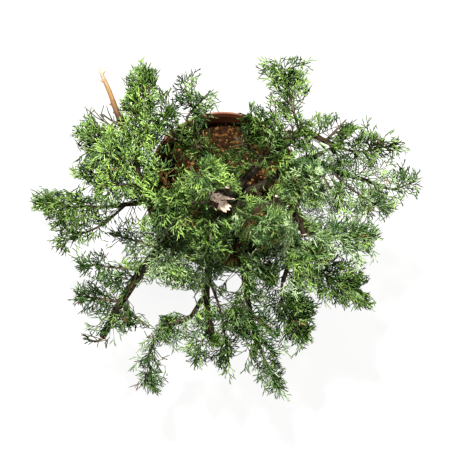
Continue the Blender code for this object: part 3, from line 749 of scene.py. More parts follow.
def pot_paint():
    """Brown plastic, matt and lightly dusted, with damp soil marks inside below the rim."""
    paint = Paint("pot_plastic", 0.55, 0.4)
    drift = paint.noise(28, 4)
    speck = paint.noise(650, 2)
    height = paint.node("SeparateXYZ", {}, {"Vector": paint.place()}, "Z")
    lines = paint.noise(1, 2, (4, 4, 900))
    base = paint.mix(paint.step(drift, 0.35, 0.7), (0.145, 0.046, 0.02), (0.19, 0.066, 0.031))
    dusty = paint.mix(paint.step(speck, 0.6, 0.75) * 0.35, base, (0.22, 0.13, 0.08))
    darkening = 1 - paint.step(height + (drift - 0.5) * 0.012, 0.124, 0.136)
    paint.bump(lines + speck * 0.3, 0.0003, 0.6)
    return paint.colour(paint.mix(darkening * 0.1, dusty, (0.05, 0.02, 0.01)))


def grain_paint(name, colour):
    """Fired clay granules."""
    paint = Paint("soil_" + name, 0.95, 0.06)
    drift = paint.noise(240, 3)
    paint.bump(paint.noise(1500, 3), 0.0003)
    darker = tuple(c * 0.5 for c in colour)
    return paint.colour(paint.mix(paint.step(drift, 0.35, 0.65), darker, colour))


def floor_paint():
    paint = Paint("floor", 0.9, 0.1)
    paint.give("Emission Color", (1, 1, 1))
    paint.give("Emission Strength", FLOOR_GLOW)
    return paint.colour(paint.mix(paint.noise(2, 1), *FLOOR_GREYS))


def at_share(ends, share):
    """The value at a share of the way from the first of some values to the last."""
    return ends[0] + (ends[-1] - ends[0]) * share


def tapered(thick, thin, count):
    """Values that change evenly from the first to the last of a count."""
    return [thick + (thin - thick) * k / (count - 1) for k in range(count)]


def between(first, second, turn):
    """The direction that lies a turn away from the first of two crossing ones, towards the second."""
    return first * math.cos(turn) + second * math.sin(turn)


def about_axis(turn, reach, height):
    """The point at a turn and reach from the upright axis."""
    return Vector((math.cos(turn) * reach, math.sin(turn) * reach, height))


def direction(bearing, rise):
    """A unit vector at a bearing from +X and a rise from level, both in degrees."""
    rise = math.radians(rise)
    return about_axis(math.radians(bearing), math.cos(rise), math.sin(rise))


def crossing(ahead):
    """The level direction across a line, and the one that stands up from both."""
    across = ahead.cross(UP).normalized()
    return across, across.cross(ahead)


def flattened(up, way):
    """A direction turned square to another."""
    return (up - way * up.dot(way)).normalized()


def smooth_line(points, steps=2):
    """Points of a smooth line through the bends given."""
    ends = [points[0] * 2 - points[1], *points, points[-1] * 2 - points[-2]]
    line = [points[0].copy()]
    for a, b, c, d in zip(ends, ends[1:], ends[2:], ends[3:]):
        for k in range(1, steps + 1):
            t = k / steps
            bend = 2 * b + (c - a) * t + (2 * a - 5 * b + 4 * c - d) * t * t
            line.append(0.5 * (bend + (3 * b - 3 * c + d - a) * t ** 3))
    return line


def steps_of(line):
    return [(b - a).length for a, b in zip(line, line[1:])]


def along(line, share):
    """The point at a share of a line's length, and the direction there."""
    lengths = steps_of(line)
    left = share * sum(lengths)
    for a, b, length in zip(line, line[1:], lengths):
        if left <= length or b is line[-1]:
            return a.lerp(b, min(left / length, 1)), (b - a).normalized()
        left -= length


def frames_of(line, first=None, last=None):
    """Two crossing directions at each point of a line, turned as little as can be, and the one along it."""
    steps = [(b - a).normalized() for a, b in zip(line, line[1:])]
    ways = [first or steps[0]]
    ways += [(a + b).normalized() for a, b in zip(steps, steps[1:])]
    ways.append(last or steps[-1])
    across = ways[0].orthogonal().normalized()
    frames = []
    for way in ways:
        across = flattened(across, way)
        frames.append((across, way.cross(across), way))
    return frames


def tube(line, radii, sides, first=None, last=None):
    """Corners and faces of a closed limb along a line, one radius a point."""
    verts = []
    for point, (across, other, _), radius in zip(line, frames_of(line, first, last), radii):
        verts += [point + between(across, other, math.tau * k / sides) * radius for k in range(sides)]
    faces = [tuple(reversed(range(sides)))]
    for low in range(0, len(verts) - sides, sides):
        for k in range(sides):
            after = (k + 1) % sides
            faces.append((low + k, low + after, low + sides + after, low + sides + k))
    faces.append(tuple(range(len(verts) - sides, len(verts))))
    return verts, faces


def spray(root, way, flat, length, thick):
    """The toothed blade of the source, which the finer shoots fill."""
    side = flat.cross(way).normalized()
    start = root - way * thick * SPRAY_SINK - flat * SPRAY_DROP
    right = [start + (way * ahead + side * out) * length for ahead, out in SPRAY_EDGE]
    left = [start + (way * ahead - side * out) * length for ahead, out in SPRAY_EDGE[-2::-1]]
    edge = [start, *right, *left]
    top = len(edge)
    verts = [*edge, root + way * length * SPRAY_RIDGE + flat * SPRAY_THICKNESS]
    faces = [tuple(range(top))]
    faces += [((k + 1) % top, k, top) for k in range(top)]
    return verts, faces


class Room:
    """The space of a mass: a rounded block about the line from its foot to its tip."""

    def __init__(self, start, tip, half_width, half_height):
        self.middle = (start + tip) / 2
        self.ahead = (tip - start).normalized()
        self.across, self.above = crossing(self.ahead)
        self.half = ((tip - start).length / 2, half_width, half_height)

    def inside(self, point):
        """How far out a point lies, 1 on the surface of the space."""
        away = point - self.middle
        parts = (away.dot(self.ahead), away.dot(self.across), away.dot(self.above))
        return sum(abs(part / half) ** ROUNDNESS for part, half in zip(parts, self.half)) ** (1 / ROUNDNESS)

    def reach(self, point, way):
        """How far it is from a point inside to the surface."""
        near = 0
        far = 3 * max(self.half)
        for _ in range(12):
            middle = (near + far) / 2
            if self.inside(point + way * middle) < 1:
                near = middle
            else:
                far = middle
        return near


def box_of(verts):
    return [min(v[k] for v in verts) for k in range(3)], [max(v[k] for v in verts) for k in range(3)]


class Taken:
    """Solids already placed, each with the node it belongs to."""

    def __init__(self):
        self.things = []
        self.pieces = []

    def add(self, owner, piece):
        self.pieces.append(piece)
        verts, faces = piece
        self.things.append((owner, *box_of(verts), BVHTree.FromPolygons(verts, faces)))

    def meets(self, owner, piece):
        """Whether a piece, a little larger, touches a solid of another node."""
        verts, faces = piece
        middle = sum(verts, Vector()) / len(verts)
        grown = []
        for vert in verts:
            out = vert - middle
            grown.append(middle + out * (1 + CLEARANCE / max(out.length, 0.5)))
        low, high = box_of(grown)
        tree = BVHTree.FromPolygons(grown, faces)
        for other, their_low, their_high, their_tree in self.things:
            if other == owner or any(low[k] > their_high[k] or high[k] < their_low[k] for k in range(3)):
                continue
            if tree.overlap(their_tree):
                return True
        return False


def limb_sides(radius):
    return 7 if radius > 6 else 6 if radius > 3.6 else 5


def meet(limbs, parent, share, towards, radius):
    """Where a child starts, just clear of the collar on its parent, and that collar's line and radii."""
    limb = limbs[parent]
    point, along_parent = along(limb.line, min(share, 1))
    if share >= 1:
        way = limb.last or along_parent
        return point + way * GAP, way, None
    thickness = at_share(limb.radii, share)
    way = (towards - point).normalized()
    narrow = math.radians(LEAST_FORK) - way.angle(along_parent)
    if narrow > 0:
        way = Quaternion(along_parent.cross(way).normalized(), narrow) @ way
    angle = way.angle(along_parent)
    length = (thickness + radius * abs(math.cos(angle))) / math.sin(angle) + COLLAR_REACH
    end = point + way * length
    sizes = [min(radius * COLLAR_SPREAD, thickness * COLLAR_LIMIT), radius]
    return end + way * GAP, way, ([point, end], sizes)


def plan_limbs():
    """The line and radii of each limb, and the collars on its parent."""
    limbs = {}
    collars = {}
    for name, parent, share, thick, thin, bends in LIMBS:
        bends = [Vector(bend) for bend in bends]
        if parent is None:
            bends[0].z = SOIL_HEIGHT + SOIL_DOME + GAP
            line = smooth_line(bends)
            shares = [k / (len(line) - 1) for k in range(len(line))]
            flare = thick * (FLARE - 1)
            radii = [thick + (thin - thick) * t + flare * (1 - t) ** FLARE_BEND for t in shares]
            limbs[name] = Limb(line, radii, UP, UP)
            continue
        start, way, collar = meet(limbs, parent, share, bends[0], thick)
        collars.setdefault(parent, []).append(collar)
        line = smooth_line([start, *bends])
        limbs[name] = Limb(line, tapered(thick, thin, len(line)), way, None)
    return limbs, collars


def plan_masses(limbs, collars):
    """Stem and space of each mass."""
    masses = {}
    for number, (name, parent, share, bearing, reach, height, half_width, half_height) in enumerate(MASSES):
        tip = about_axis(math.radians(bearing), reach, height)
        at, _ = along(limbs[parent].line, min(share, 1))
        towards = at.lerp(tip, STEM_AIM) + UP * STEM_LIFT * (tip - at).length
        radius = min(STEM_RADIUS, limbs[parent].radii[-1] * STEM_LIMIT)
        start, way, collar = meet(limbs, parent, share, towards, radius)
        if collar:
            collars.setdefault(parent, []).append(collar)
        span = (tip - start).length
        straight = (tip - start).normalized()
        end = tip - straight * span * STEM_SHORT
        knee = start + way * span * STEM_KNEE
        far = end - straight * span * STEM_FAR
        stem = []
        for k in range(STEM_RINGS):
            t = k / (STEM_RINGS - 1)
            bend = start * (1 - t) ** 3 + knee * 3 * t * (1 - t) ** 2 + far * 3 * t * t * (1 - t)
            stem.append(bend + end * t ** 3)
        radii = tapered(radius, STEM_TIP_RADIUS, STEM_RINGS)
        masses[name] = Mass(stem, radii, way, Room(start, tip, half_width, half_height), number)
    return masses


def own(name, point, masses, room, margin=OWN_SPACE_MARGIN):
    """Whether a point is nearer to this mass's space than to any other."""
    mine = room.inside(point)
    if mine > OWN_LIMIT:
        return False
    others = (mass.room for other, mass in masses.items() if other != name)
    return not any(other.inside(point) < mine + margin for other in others)


def facing(towards, chance):
    """The side of a spray that looks up, tilted at random."""
    up = UP + SPRAY_TILT * Vector((chance.uniform(-1, 1), chance.uniform(-1, 1), 0))
    if abs(towards.z) > STEEP:
        up = towards.orthogonal()
    return flattened(up, towards)


def shoot_count(stem):
    """How many shoots the source gives a stem."""
    return max(FEWEST_SHOOTS, min(MOST_SHOOTS, round(sum(steps_of(stem)) / SPACING)))


def shoot_way(ahead, roll, share, chance, drift):
    """Where a shoot heads, closer to its stem's own way the nearer it is to the tip."""
    lean = math.radians(at_share(SHOOT_LEANS, share) + chance.uniform(-drift, drift))
    return between(ahead, between(*crossing(ahead), roll), lean)


def grow(name, masses, taken):
    """The source's shoots of one mass: foot, direction, flat side, length, and length of bare twig."""
    stem, radii, _, room, number = masses[name]
    shoots = []
    sprays = Taken()

    def fits(piece, checks):
        if not all(own(name, p, masses, room) for p in checks) or taken.meets(name, piece):
            return False
        return not sprays.meets("", piece)

    def add_spray(root, towards, flat, length, thick, bare=0):
        if length < SHORTEST_SPRAY:
            return False
        blade = spray(root, towards, flat, length, thick)
        if not fits(blade, (root + towards * length, root + towards * length * 0.5)):
            return False
        shoots.append((root - towards * bare, towards, flat, length + bare, bare))
        sprays.add(name, blade)
        return True

    count = shoot_count(stem)
    tip, ahead = along(stem, 1)
    chance = random.Random(number * SEEDS["shoots"])
    reach = max(room.reach(tip - ahead, ahead) + 3, SHORTEST_SPRAY + 2)
    for size in SIZES:
        if add_spray(tip - ahead * 2, ahead, facing(ahead, chance), min(reach, LONGEST_SPRAY) * size, 1):
            break
    level, narrow = SIDE_DRIFT
    for k in reversed(range(count)):
        share = FIRST_SHOOT + (LAST_SHOOT - FIRST_SHOOT) * (k + 0.5) / count
        foot, ahead = along(stem, share)
        thick = at_share(radii, share)
        chance = random.Random(number * SEEDS["shoots"] + k + 1)
        for size in [size for size in SIZES for _ in range(TRIES)]:
            roll = math.pi * (k % 2) + chance.uniform(-1, 1) * (level + narrow * room.half[2] / room.half[1])
            if k % 3 == 1:
                roll = math.pi / 2 + chance.uniform(-UPPER_DRIFT, UPPER_DRIFT)
            towards = shoot_way(ahead, roll, share, chance, LEAN_DRIFT)
            flat = facing(towards, chance)
            reach = room.reach(foot, towards) * BEYOND
            if reach < LONGEST_SPRAY * LONE_SPRAY:
                if add_spray(foot, towards, flat, reach * size, thick):
                    break
                continue
            long = min(reach * FAR_SPRAY, LONGEST_SPRAY) * size
            end = foot + towards * (reach * size - long + 2)
            twig = tube([foot, end], [TWIG_RADIUS, TWIG_TIP_RADIUS], 3)
            if not fits(twig, (end, foot.lerp(end, 0.6))):
                continue
            if add_spray(end - towards, towards, flat, long, TWIG_TIP_RADIUS, (end - foot).length - 1):
                taken.add(name, twig)
                break
    for piece in sprays.pieces:
        taken.add(name, piece)
    return shoots


def more_shoots(name, masses):
    """Finer shoots between the source's, by the same rule and within the same space."""
    stem, _, _, room, number = masses[name]
    shoots = []
    count = round(EXTRA_SHOOTS * DENSITY.get(name, 1) * shoot_count(stem))
    chance = random.Random(number * SEEDS["extra shoots"] + 7)
    for k in range(count):
        share = EXTRA_SPAN[0] + EXTRA_SPAN[1] * (k + chance.random()) / count
        foot, ahead = along(stem, share)
        roll = k * EXTRA_TURN + chance.uniform(-EXTRA_SIDE_DRIFT, EXTRA_SIDE_DRIFT)
        if math.sin(roll) < -0.5:
            roll += math.pi
        towards = shoot_way(ahead, roll, share, chance, EXTRA_LEAN_DRIFT)
        reach = room.reach(foot, towards) * chance.uniform(*EXTRA_REACH)
        if reach > SHORTEST_EXTRA:
            long = min(reach, LONGEST_SPRAY * LONGEST_EXTRA)
            shoots.append((foot, towards, facing(towards, chance), long, 0))
    return shoots


def limb_shoots(limbs, masses):
    """Short shoots along the boughs, each with the mass whose look it shares."""
    shoots = []
    chance = random.Random(SEEDS["limb shoots"])
    for name, low, high, count, longest, mass in LIMB_SPRAYS:
        limb = limbs[name]
        for k in range(count):
            share = low + (high - low) * (k + chance.random()) / count
            point, ahead = along(limb.line, share)
            out = between(*crossing(ahead), chance.uniform(-0.3, math.pi + 0.3))
            if name == "trunk":
                out = direction(k * 137 + chance.uniform(-20, 20), 10)
            towards = between(ahead, out, math.radians(chance.uniform(38, 78)))
            foot = point + out * at_share(limb.radii, share) * 0.6
            long = chance.uniform(SHORTEST_LIMB_SPRAY, longest)
            shoots.append((mass, (foot, towards, facing(towards, chance), long, 0), None))
    singles = [(parent, *row, mass or parent, None) for parent, mass, *rows in SPRIGS for row in rows]
    singles += [(*row, DEAD_MASS, DEAD_LOOK) for row in DEAD_SPRAYS]
    for parent, share, bearing, rise, long, mass, look in singles:
        holder = limbs[parent] if parent in limbs else masses[parent]
        point, _ = along(holder.line, share)
        towards = direction(bearing, rise)
        shoots.append((mass, (point + towards * 2, towards, facing(towards, chance), long, 0), look))
    return shoots


def in_opening(point):
    """Whether a point lies in one of the clear openings, seen from above."""
    scale = FOCAL_PIXELS / (CAMERA_PLACE[2] - point.z)
    across = PICTURE_SIDE / 2 + (point.x - CAMERA_PLACE[0]) * scale
    down = PICTURE_SIDE / 2 - (point.y - CAMERA_PLACE[1]) * scale
    return any(((across - x) / wide) ** 2 + ((down - y) / high) ** 2 < 1 for x, y, wide, high in OPENINGS)


class Leaves:
    """Strands of foliage collected by tone, and the wood that carries them."""

    def __init__(self, masses, near_limb):
        self.masses = masses
        self.near_limb = near_limb
        self.low = [corner / MM + TIP_RADIUS for corner in cad_box[0]]
        self.high = [corner / MM - TIP_RADIUS for corner in cad_box[1]]
        self.strands = {}
        self.bearers = {}
        self.shoots = []
        self.open = True

    def add(self, kind, tone, mass, root, way, bend, length, radius):
        """One strand, unless its end lies outside the plant's box or in an opening."""
        end = root + way * length + bend
        if any(not low < value < high for low, value, high in zip(self.low, end, self.high)):
            return
        if self.open and in_opening(end):
            return
        self.strands.setdefault((tone, kind), []).append((*root, *way, *bend, length, radius))
        self.bearers.setdefault(tone, set()).add(mass)

    def free(self, name, point, room, within):
        """Whether a point is in its mass's space and off the limbs."""
        if within:
            if room.inside(point) > FILLS.get(name, USUAL_FILL) or not own(name, point, self.masses, room, 0):
                return False
        return not self.near_limb(point) and not (self.open and in_opening(point))

    def dress(self, name, shoot, chance, within=True, look=None):
        """Branchlets along a shoot, with their tips. One on a bough need not keep to a mass's space."""
        foot, way, flat, length, bare = shoot
        family, level, needles = look or LOOKS.get(name, DEFAULT_LOOK)
        self.open = look is None
        room = self.masses[name].room
        side = flat.cross(way).normalized()
        lift = UP * length * chance.uniform(*SHOOT_LIFT)
        shoot_level = level + chance.uniform(-SHOOT_SPREAD, SHOOT_SPREAD)
        if chance.random() < STRAY_SHARE and not look:
            family = "blue" if family == "green" else "green"
            shoot_level += BLUE_STEP if family == "blue" else 0
        reached = 0
        begin = bare * 0.5
        count = max(3, round((length - begin) / BRANCHLET_SPACING * DENSITY.get(name, 1) ** 0.5))
        for k in range(count):
            t = (begin + (length * 0.97 - begin) * (k + chance.random() * 0.7) / count) / length
            root = foot + way * length * t + lift * t * t
            roll = math.pi * (k % 2) + chance.uniform(-0.55, 0.55)
            if k % 4 == 3:
                roll = math.pi / 2 + chance.uniform(-0.8, 0.8)
            out = between(side, flat, roll)
            lean = BRANCHLET_LEAN + chance.uniform(-BRANCHLET_DRIFT, BRANCHLET_DRIFT) + BRANCHLET_TURN * t
            towards = between(way, out, math.radians(lean))
            long = min(length * (0.5 * (1 - t) ** 0.8 + 0.12), LONGEST_BRANCHLET)
            long = max(long * chance.uniform(*BRANCHLET_LENGTHS), SHORTEST_BRANCHLET)
            for shorter in (long, max(long * 0.5, STUNTED_BRANCHLET)):
                end = root + towards * shorter
                if self.free(name, end + towards * BEYOND_END, room, within):
                    break
            else:
                continue
            # Darker towards the shoot's base, and painted shade where the branchlet hangs, lies deep in its
            # mass's space or low in it
            deep = SURFACE + DEEPER["inwards"] * (1 - t) + (DEEPER["hanging"] if out.z < -0.2 else 0)
            if within:
                height = (end - room.middle).dot(room.above) / room.half[2]
                deep += DEEPER["middle"] * max(0, 0.9 - room.inside(end))
                deep += DEEPER["underside"] * min(max(0, 0.35 - height), 1)
            shade = shoot_level + deep + chance.uniform(-TONE_SPREAD, TONE_SPREAD)
            self.branchlet(name, (family, shade, needles), root, towards, flat, shorter, chance)
            reached = t
        if reached:
            self.shoots.append(self.rachis(foot, way, lift, length, min(reached + 0.06, 1)))

    def rachis(self, foot, way, lift, length, end):
        """A shoot's own wood, up to its last branchlet."""
        shares = (0, end * 0.33, end * 0.66, end)
        line = [foot + way * length * t + lift * t * t for t in shares]
        thick = 0.45 + length * 0.009
        return line, [thick * (1 - 0.62 * t) for t in shares]

    def branchlet(self, name, look, root, way, flat, length, chance):
        """One branchlet, a cord of scales, and the tips that fork from it."""
        family, shade, needles = look
        ladder = FAMILIES[family]
        tone = ladder[max(0, min(len(ladder) - 1, round(shade)))]
        if chance.random() < DRY_SHARE:
            tone = "dry"
        side = flat.cross(way).normalized()
        over = way.cross(side)
        bend = UP * length * chance.uniform(*BRANCHLET_LIFT)
        self.add("cord", tone, name, root, way, bend, length + 3, TIP_RADIUS * 0.9)
        count = max(1, round(length / TIP_SPACING))
        low, high = NEEDLE_LENGTH if needles else TIP_LENGTH
        for k in range(count):
            t = 0.1 + 0.85 * (k + chance.random() * 0.6) / count
            start = root + way * length * t + bend * t * t
            roll = math.pi * (k % 2) + chance.uniform(-0.6, 0.6)
            lean = math.radians(TIP_LEAN + NEEDLE_SPREAD * needles + chance.uniform(*TIP_DRIFT))
            out = between(side, over, roll)
            towards = between(way, out, lean).normalized()
            long = chance.uniform(low, high) * (1 - 0.3 * t)
            arch = UP * long * chance.uniform(0, 0.1) - out * long * 0.05
            if needles:
                self.add("needle", tone, name, start, towards, arch, long, NEEDLE_RADIUS)
                if chance.random() < PAIRED_NEEDLES:
                    other = between(way, -out, lean).normalized()
                    self.add("needle", tone, name, start, other, arch, long * 0.9, NEEDLE_RADIUS)
                continue
            self.add("tip", tone, name, start, towards, arch, long, TIP_RADIUS)
            if chance.random() < FORKED_TIPS:
                fork = towards * 0.86 + side * chance.uniform(-0.5, 0.5) + over * chance.uniform(-0.4, 0.5)
                fork.normalize()
                start += towards * long * 0.45
                self.add("tip", tone, name, start, fork, arch * 0.3, long * 0.55, TIP_RADIUS * 0.9)


def strand_arrays(kind, rows):
    """Corners and triangles of many strands of one kind."""
    rows = np.array(rows)
    root, way, bend = rows[:, 0:3], rows[:, 3:6], rows[:, 6:9]
    length, radius = rows[:, 9:10], rows[:, 10:11]
    across = np.cross(way, np.array((0.31, 0.57, 0.76)))
    across /= np.maximum(np.linalg.norm(across, axis=1, keepdims=True), 1e-6)
    other = np.cross(way, across)
    shape = STRAND_SHAPES[kind]
    corners = []
    for share, wide in shape:
        middle = root + way * length * share + bend * share * share
        if wide == 0:
            corners.append(middle)
            continue
        for k in range(STRAND_SIDES):
            turn = math.tau * k / STRAND_SIDES + share
            corners.append(middle + between(across, other, turn) * radius * wide)
    faces = []
    rings = len(shape) - 2
    last = 1 + rings * STRAND_SIDES
    for k in range(STRAND_SIDES):
        after = (k + 1) % STRAND_SIDES
        faces.append((0, 1 + after, 1 + k))
        for ring in range(rings - 1):
            low = 1 + ring * STRAND_SIDES
            high = low + STRAND_SIDES
            faces += [(low + k, low + after, high + after), (low + k, high + after, high + k)]
        top = last - STRAND_SIDES
        faces.append((top + k, top + after, last))
    offsets = np.arange(len(rows))[:, None, None] * len(corners)
    return np.stack(corners, axis=1).reshape(-1, 3), (np.array(faces)[None] + offsets).reshape(-1, 3)


def placed(name, data):
    """An object in the scene."""
    thing = bpy.data.objects.new(name, data)
    bpy.context.scene.collection.objects.link(thing)
    return thing


def built(name, shape):
    """An object made from a shape, which is then finished with."""
    mesh = bpy.data.meshes.new(name)
    shape.to_mesh(mesh)
    shape.free()
    return placed(name, mesh)


def apply_modifiers(thing):
    graph = bpy.context.evaluated_depsgraph_get()
    made = bpy.data.meshes.new_from_object(thing.evaluated_get(graph))
    thing.modifiers.clear()
    thing.data = made


def hand_over(piece, paint, nodes=()):
    """Paints a piece, ties it to the plant's one body and hides the solids of the part it stands for."""
    piece.data.shade_smooth()
    piece.data.materials.clear()
    piece.data.materials.append(paint)
    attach(piece, "root")
    if nodes:
        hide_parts(*nodes)


def merged(parts):
    """Corners and triangles of several parts as one."""
    offsets = np.cumsum([0] + [len(verts) for verts, _ in parts])
    faces = [some + offset for (_, some), offset in zip(parts, offsets)]
    return np.concatenate([verts for verts, _ in parts]), np.concatenate(faces)


def piece_from(name, verts, faces):
    """An object from corners in mm and triangles."""
    mesh = bpy.data.meshes.new(name)
    mesh.vertices.add(len(verts))
    mesh.vertices.foreach_set("co", (np.asarray(verts, dtype=np.float32) * MM).ravel())
    mesh.loops.add(len(faces) * 3)
    mesh.loops.foreach_set("vertex_index", np.asarray(faces, dtype=np.int32).ravel())
    mesh.polygons.add(len(faces))
    mesh.polygons.foreach_set("loop_start", np.arange(0, len(faces) * 3, 3, dtype=np.int32))
    mesh.update(calc_edges=True)
    return placed(name, mesh)


def make_leaves(leaves):
    """Foliage pieces, one tone each and each of at most a set number of triangles."""
    for tone, colour in TONES.items():
        paint = leaf_paint(tone, colour)
        nodes = ["mass_" + name for name in sorted(leaves.bearers[tone])]
        kinds = [kind for kind in STRAND_SHAPES if (tone, kind) in leaves.strands]
        verts, faces = merged([strand_arrays(kind, leaves.strands[tone, kind]) for kind in kinds])
        for number, start in enumerate(range(0, len(faces), TRIANGLES_A_PIECE), 1):
            cut = faces[start:start + TRIANGLES_A_PIECE]
            low = cut.min()
            piece = piece_from(f"leaves_{tone}_{number}", verts[low:cut.max() + 1], cut - low)
            hand_over(piece, paint, nodes)


def make_twigs(leaves, masses, bare_twigs):
    """Stems of the masses and the bare twigs on the boughs, and the green brown wood of the shoots."""
    stems = [tube(line, radii, 4) for line, radii in bare_twigs]
    for mass in masses.values():
        fine = smooth_line([mass.line[0] - mass.way * 2, *mass.line], 3)
        stems.append(tube(fine, tapered(mass.radii[0], mass.radii[-1], len(fine)), 7, mass.way))
    bare_sprays = [([Vector(point) for point in points], BARE_SPRAY_RADII) for points in BARE_SPRAYS]
    shoots = [tube(line, radii, 4) for line, radii in leaves.shoots + bare_sprays]
    for name, pieces, paint in (("twigs", stems, twig_paint()), ("shoots", shoots, shoot_paint())):
        parts = []
        for verts, faces in pieces:
            fans = [(face[0], b, c) for face in faces for b, c in zip(face[1:], face[2:])]
            parts.append((np.array([tuple(vert) for vert in verts]), np.array(fans)))
        hand_over(piece_from(name, *merged(parts)), paint)


def plan_bare_twigs(limbs):
    """Dead twigs left along the boughs, some forked."""
    twigs = []
    chance = random.Random(SEEDS["bare twigs"])
    for name, limb in limbs.items():
        if name in ("trunk", "jin"):
            continue
        for k in range(round(sum(steps_of(limb.line)) / BARE_TWIG_SPACING)):
            share = chance.uniform(0.05, 0.95)
            point, ahead = along(limb.line, share)
            across, above = crossing(ahead)
            out = between(across, above, chance.uniform(-0.4, math.pi + 0.4))
            way = (ahead * chance.uniform(0.1, 1) + out).normalized()
            thick = chance.uniform(0.45, 0.95)
            long = chance.uniform(7, 24)
            root = point + out * at_share(limb.radii, share) * 0.5
            bow = across * chance.uniform(-0.2, 0.2) * long
            bends = [root + way * long * t + bow * t * t for t in (0, 0.35, 0.7, 1)]
            if in_opening(bends[-1]) or in_opening(bends[2]):
                continue
            twigs.append((bends, [thick, thick * 0.85, thick * 0.65, thick * 0.35]))
            if long > FORKED_TWIG:
                fork = (way + (ahead - out * 0.6) * chance.uniform(-0.9, 0.9)).normalized()
                side_bends = [bends[1] + fork * long * t for t in (0, 0.3, 0.55)]
                twigs.append((side_bends, [thick * 0.7, thick * 0.5, thick * 0.3]))
    return twigs


def add_tube(shape, wood):
    """A closed limb added to a shape: a capped circle drawn out along a line."""
    spots = []
    for point, axes, radius in zip(wood.line, frames_of(wood.line, wood.first, wood.last), wood.radii):
        turn = Matrix(axes).transposed().to_4x4()
        spots.append(Matrix.Translation(point) @ turn @ Matrix.Scale(radius, 4))
    made = bmesh.ops.create_circle(shape, cap_ends=True, segments=SKIN_SIDES, radius=1, matrix=spots[0])
    end = made["verts"][0].link_faces[0]
    for before, after in zip(spots, spots[1:]):
        grown = bmesh.ops.extrude_face_region(shape, geom=[end])["geom"]
        end = next(item for item in grown if isinstance(item, bmesh.types.BMFace))
        bmesh.ops.transform(shape, matrix=after @ before.inverted(), verts=end.verts[:])


class Axis:
    """The middle line of a piece of wood, to tell where on it a point of its surface lies."""

    def __init__(self, wood):
        self.frames = np.array([[tuple(side) for side in sides] for sides in frames_of(wood.line)])
        self.start = np.array([tuple(point) for point in wood.line[:-1]])
        self.step = np.array([tuple(b - a) for a, b in zip(wood.line, wood.line[1:])])
        self.length = np.linalg.norm(self.step, axis=1)
        self.before = np.concatenate(([0], np.cumsum(self.length)[:-1]))
        self.total = self.before[-1] + self.length[-1]
        self.radii = np.array(wood.radii)
        self.cut = wood.cut

    def locate(self, points):
        """For each point: how far it is off the surface, its place along, its angle and the radius there."""
        away = points[:, None, :] - self.start[None]
        t = np.clip((away * self.step[None]).sum(2) / self.length[None] ** 2, 0, 1)
        off = np.linalg.norm(away - t[..., None] * self.step[None], axis=2)
        size = self.radii[:-1] + (self.radii[1:] - self.radii[:-1]) * t
        best = (off - size).argmin(axis=1)
        rows = np.arange(len(points))
        place = self.before[best] + t[rows, best] * self.length[best]
        across, other, _ = self.frames[best].transpose(1, 0, 2)
        out = away[rows, best]
        angle = np.arctan2((out * other).sum(1), (out * across).sum(1))
        return (off - size)[rows, best], place, angle, size[rows, best]


def make_wood(name, pieces, knots, paint, torn_from):
    """One limb with its collars, stubs and knots fused into a skin that carries the relief of its bark."""
    shape = bmesh.new()
    for wood in pieces:
        add_tube(shape, wood)
    for middle, radius in knots:
        bmesh.ops.create_icosphere(shape, subdivisions=2, radius=radius, matrix=Matrix.Translation(middle))
    bmesh.ops.recalc_face_normals(shape, faces=shape.faces)
    thing = built(name + "_bark", shape)
    skin = thing.modifiers.new("skin", "REMESH")
    skin.mode = "VOXEL"
    widest = max(max(wood.radii) for wood in pieces)
    skin.voxel_size = VOXEL if widest > THIN_LIMB else VOXEL * THIN_VOXEL
    thing.modifiers.new("soften", "SMOOTH").iterations = SOFTENING
    apply_modifiers(thing)
    carve(thing.data, [Axis(wood) for wood in pieces], torn_from)
    hand_over(thing, paint, [name])


def read_vectors(mesh, label):
    values = np.empty(len(mesh.vertices) * 3, dtype=np.float32)
    mesh.vertices.foreach_get(label, values)
    return values.reshape(-1, 3)


def carve(mesh, axes, torn_from):
    """Pushes the skin in and out along its grain, and stores ridge, bare wood and place along."""
    points = read_vectors(mesh, "co").astype(float)
    found = [axis.locate(points) for axis in axes]
    nearest = np.array([item[0] for item in found]).argmin(axis=0)
    ridge, bare, depth = np.zeros((3, len(points)))
    for k, which in enumerate(nearest):
        axis = axes[which]
        _, place, angle, size = (values[k] for values in found[which])
        turn = angle + place * MM * TWIST * math.tau
        round_x = math.cos(turn) * size * FURROWS
        round_y = math.sin(turn) * size * FURROWS
        broad, strips, fine = (
            noise.noise((place * long + which * shift, round_x * wide, round_y * wide))
            for long, shift, wide in BARK_LAYERS
        )
        level = 0.45 * broad + 0.4 * (1 - 2.2 * abs(strips)) + 0.2 * fine
        ridge[k] = min(max(0.38 + 0.42 * level, 0), 1)
        depth[k] = level * RELIEF * min(1, 0.25 + size / 14)
        if axis.cut and place > axis.total - CUT_LENGTH:
            bare[k] = CUT_BARE
            depth[k] *= CUT_RELIEF
    if torn_from is not None:
        torn = np.clip((points[:, 2] - torn_from) / TORN_FADE, 0, 1)
        shards = [item for axis, item in zip(axes, found) if axis.radii.max() < SHARD_LIMIT]
        split = np.any([np.abs(item[0]) < SHARD_SKIN for item in shards], axis=0)
        bare = np.maximum(bare, torn * np.where(split, 1, 0.4))
    moved = points + read_vectors(mesh, "normal") * depth[:, None]
    mesh.vertices.foreach_set("co", (moved * MM).astype(np.float32).ravel())
    for label, values in (("ridge", ridge), ("bare", bare), ("along", found[0][1] / axes[0].total)):
        mesh.attributes.new(label, "FLOAT", "POINT").data.foreach_set("value", values.astype(np.float32))
    mesh.update()


def stub_line(line, share, bearing, rise, length):
    """Three points of a short stub that leaves a limb."""
    point, _ = along(line, share)
    way = direction(bearing, rise)
    return [point, point + way * length * 0.5, point + way * length]


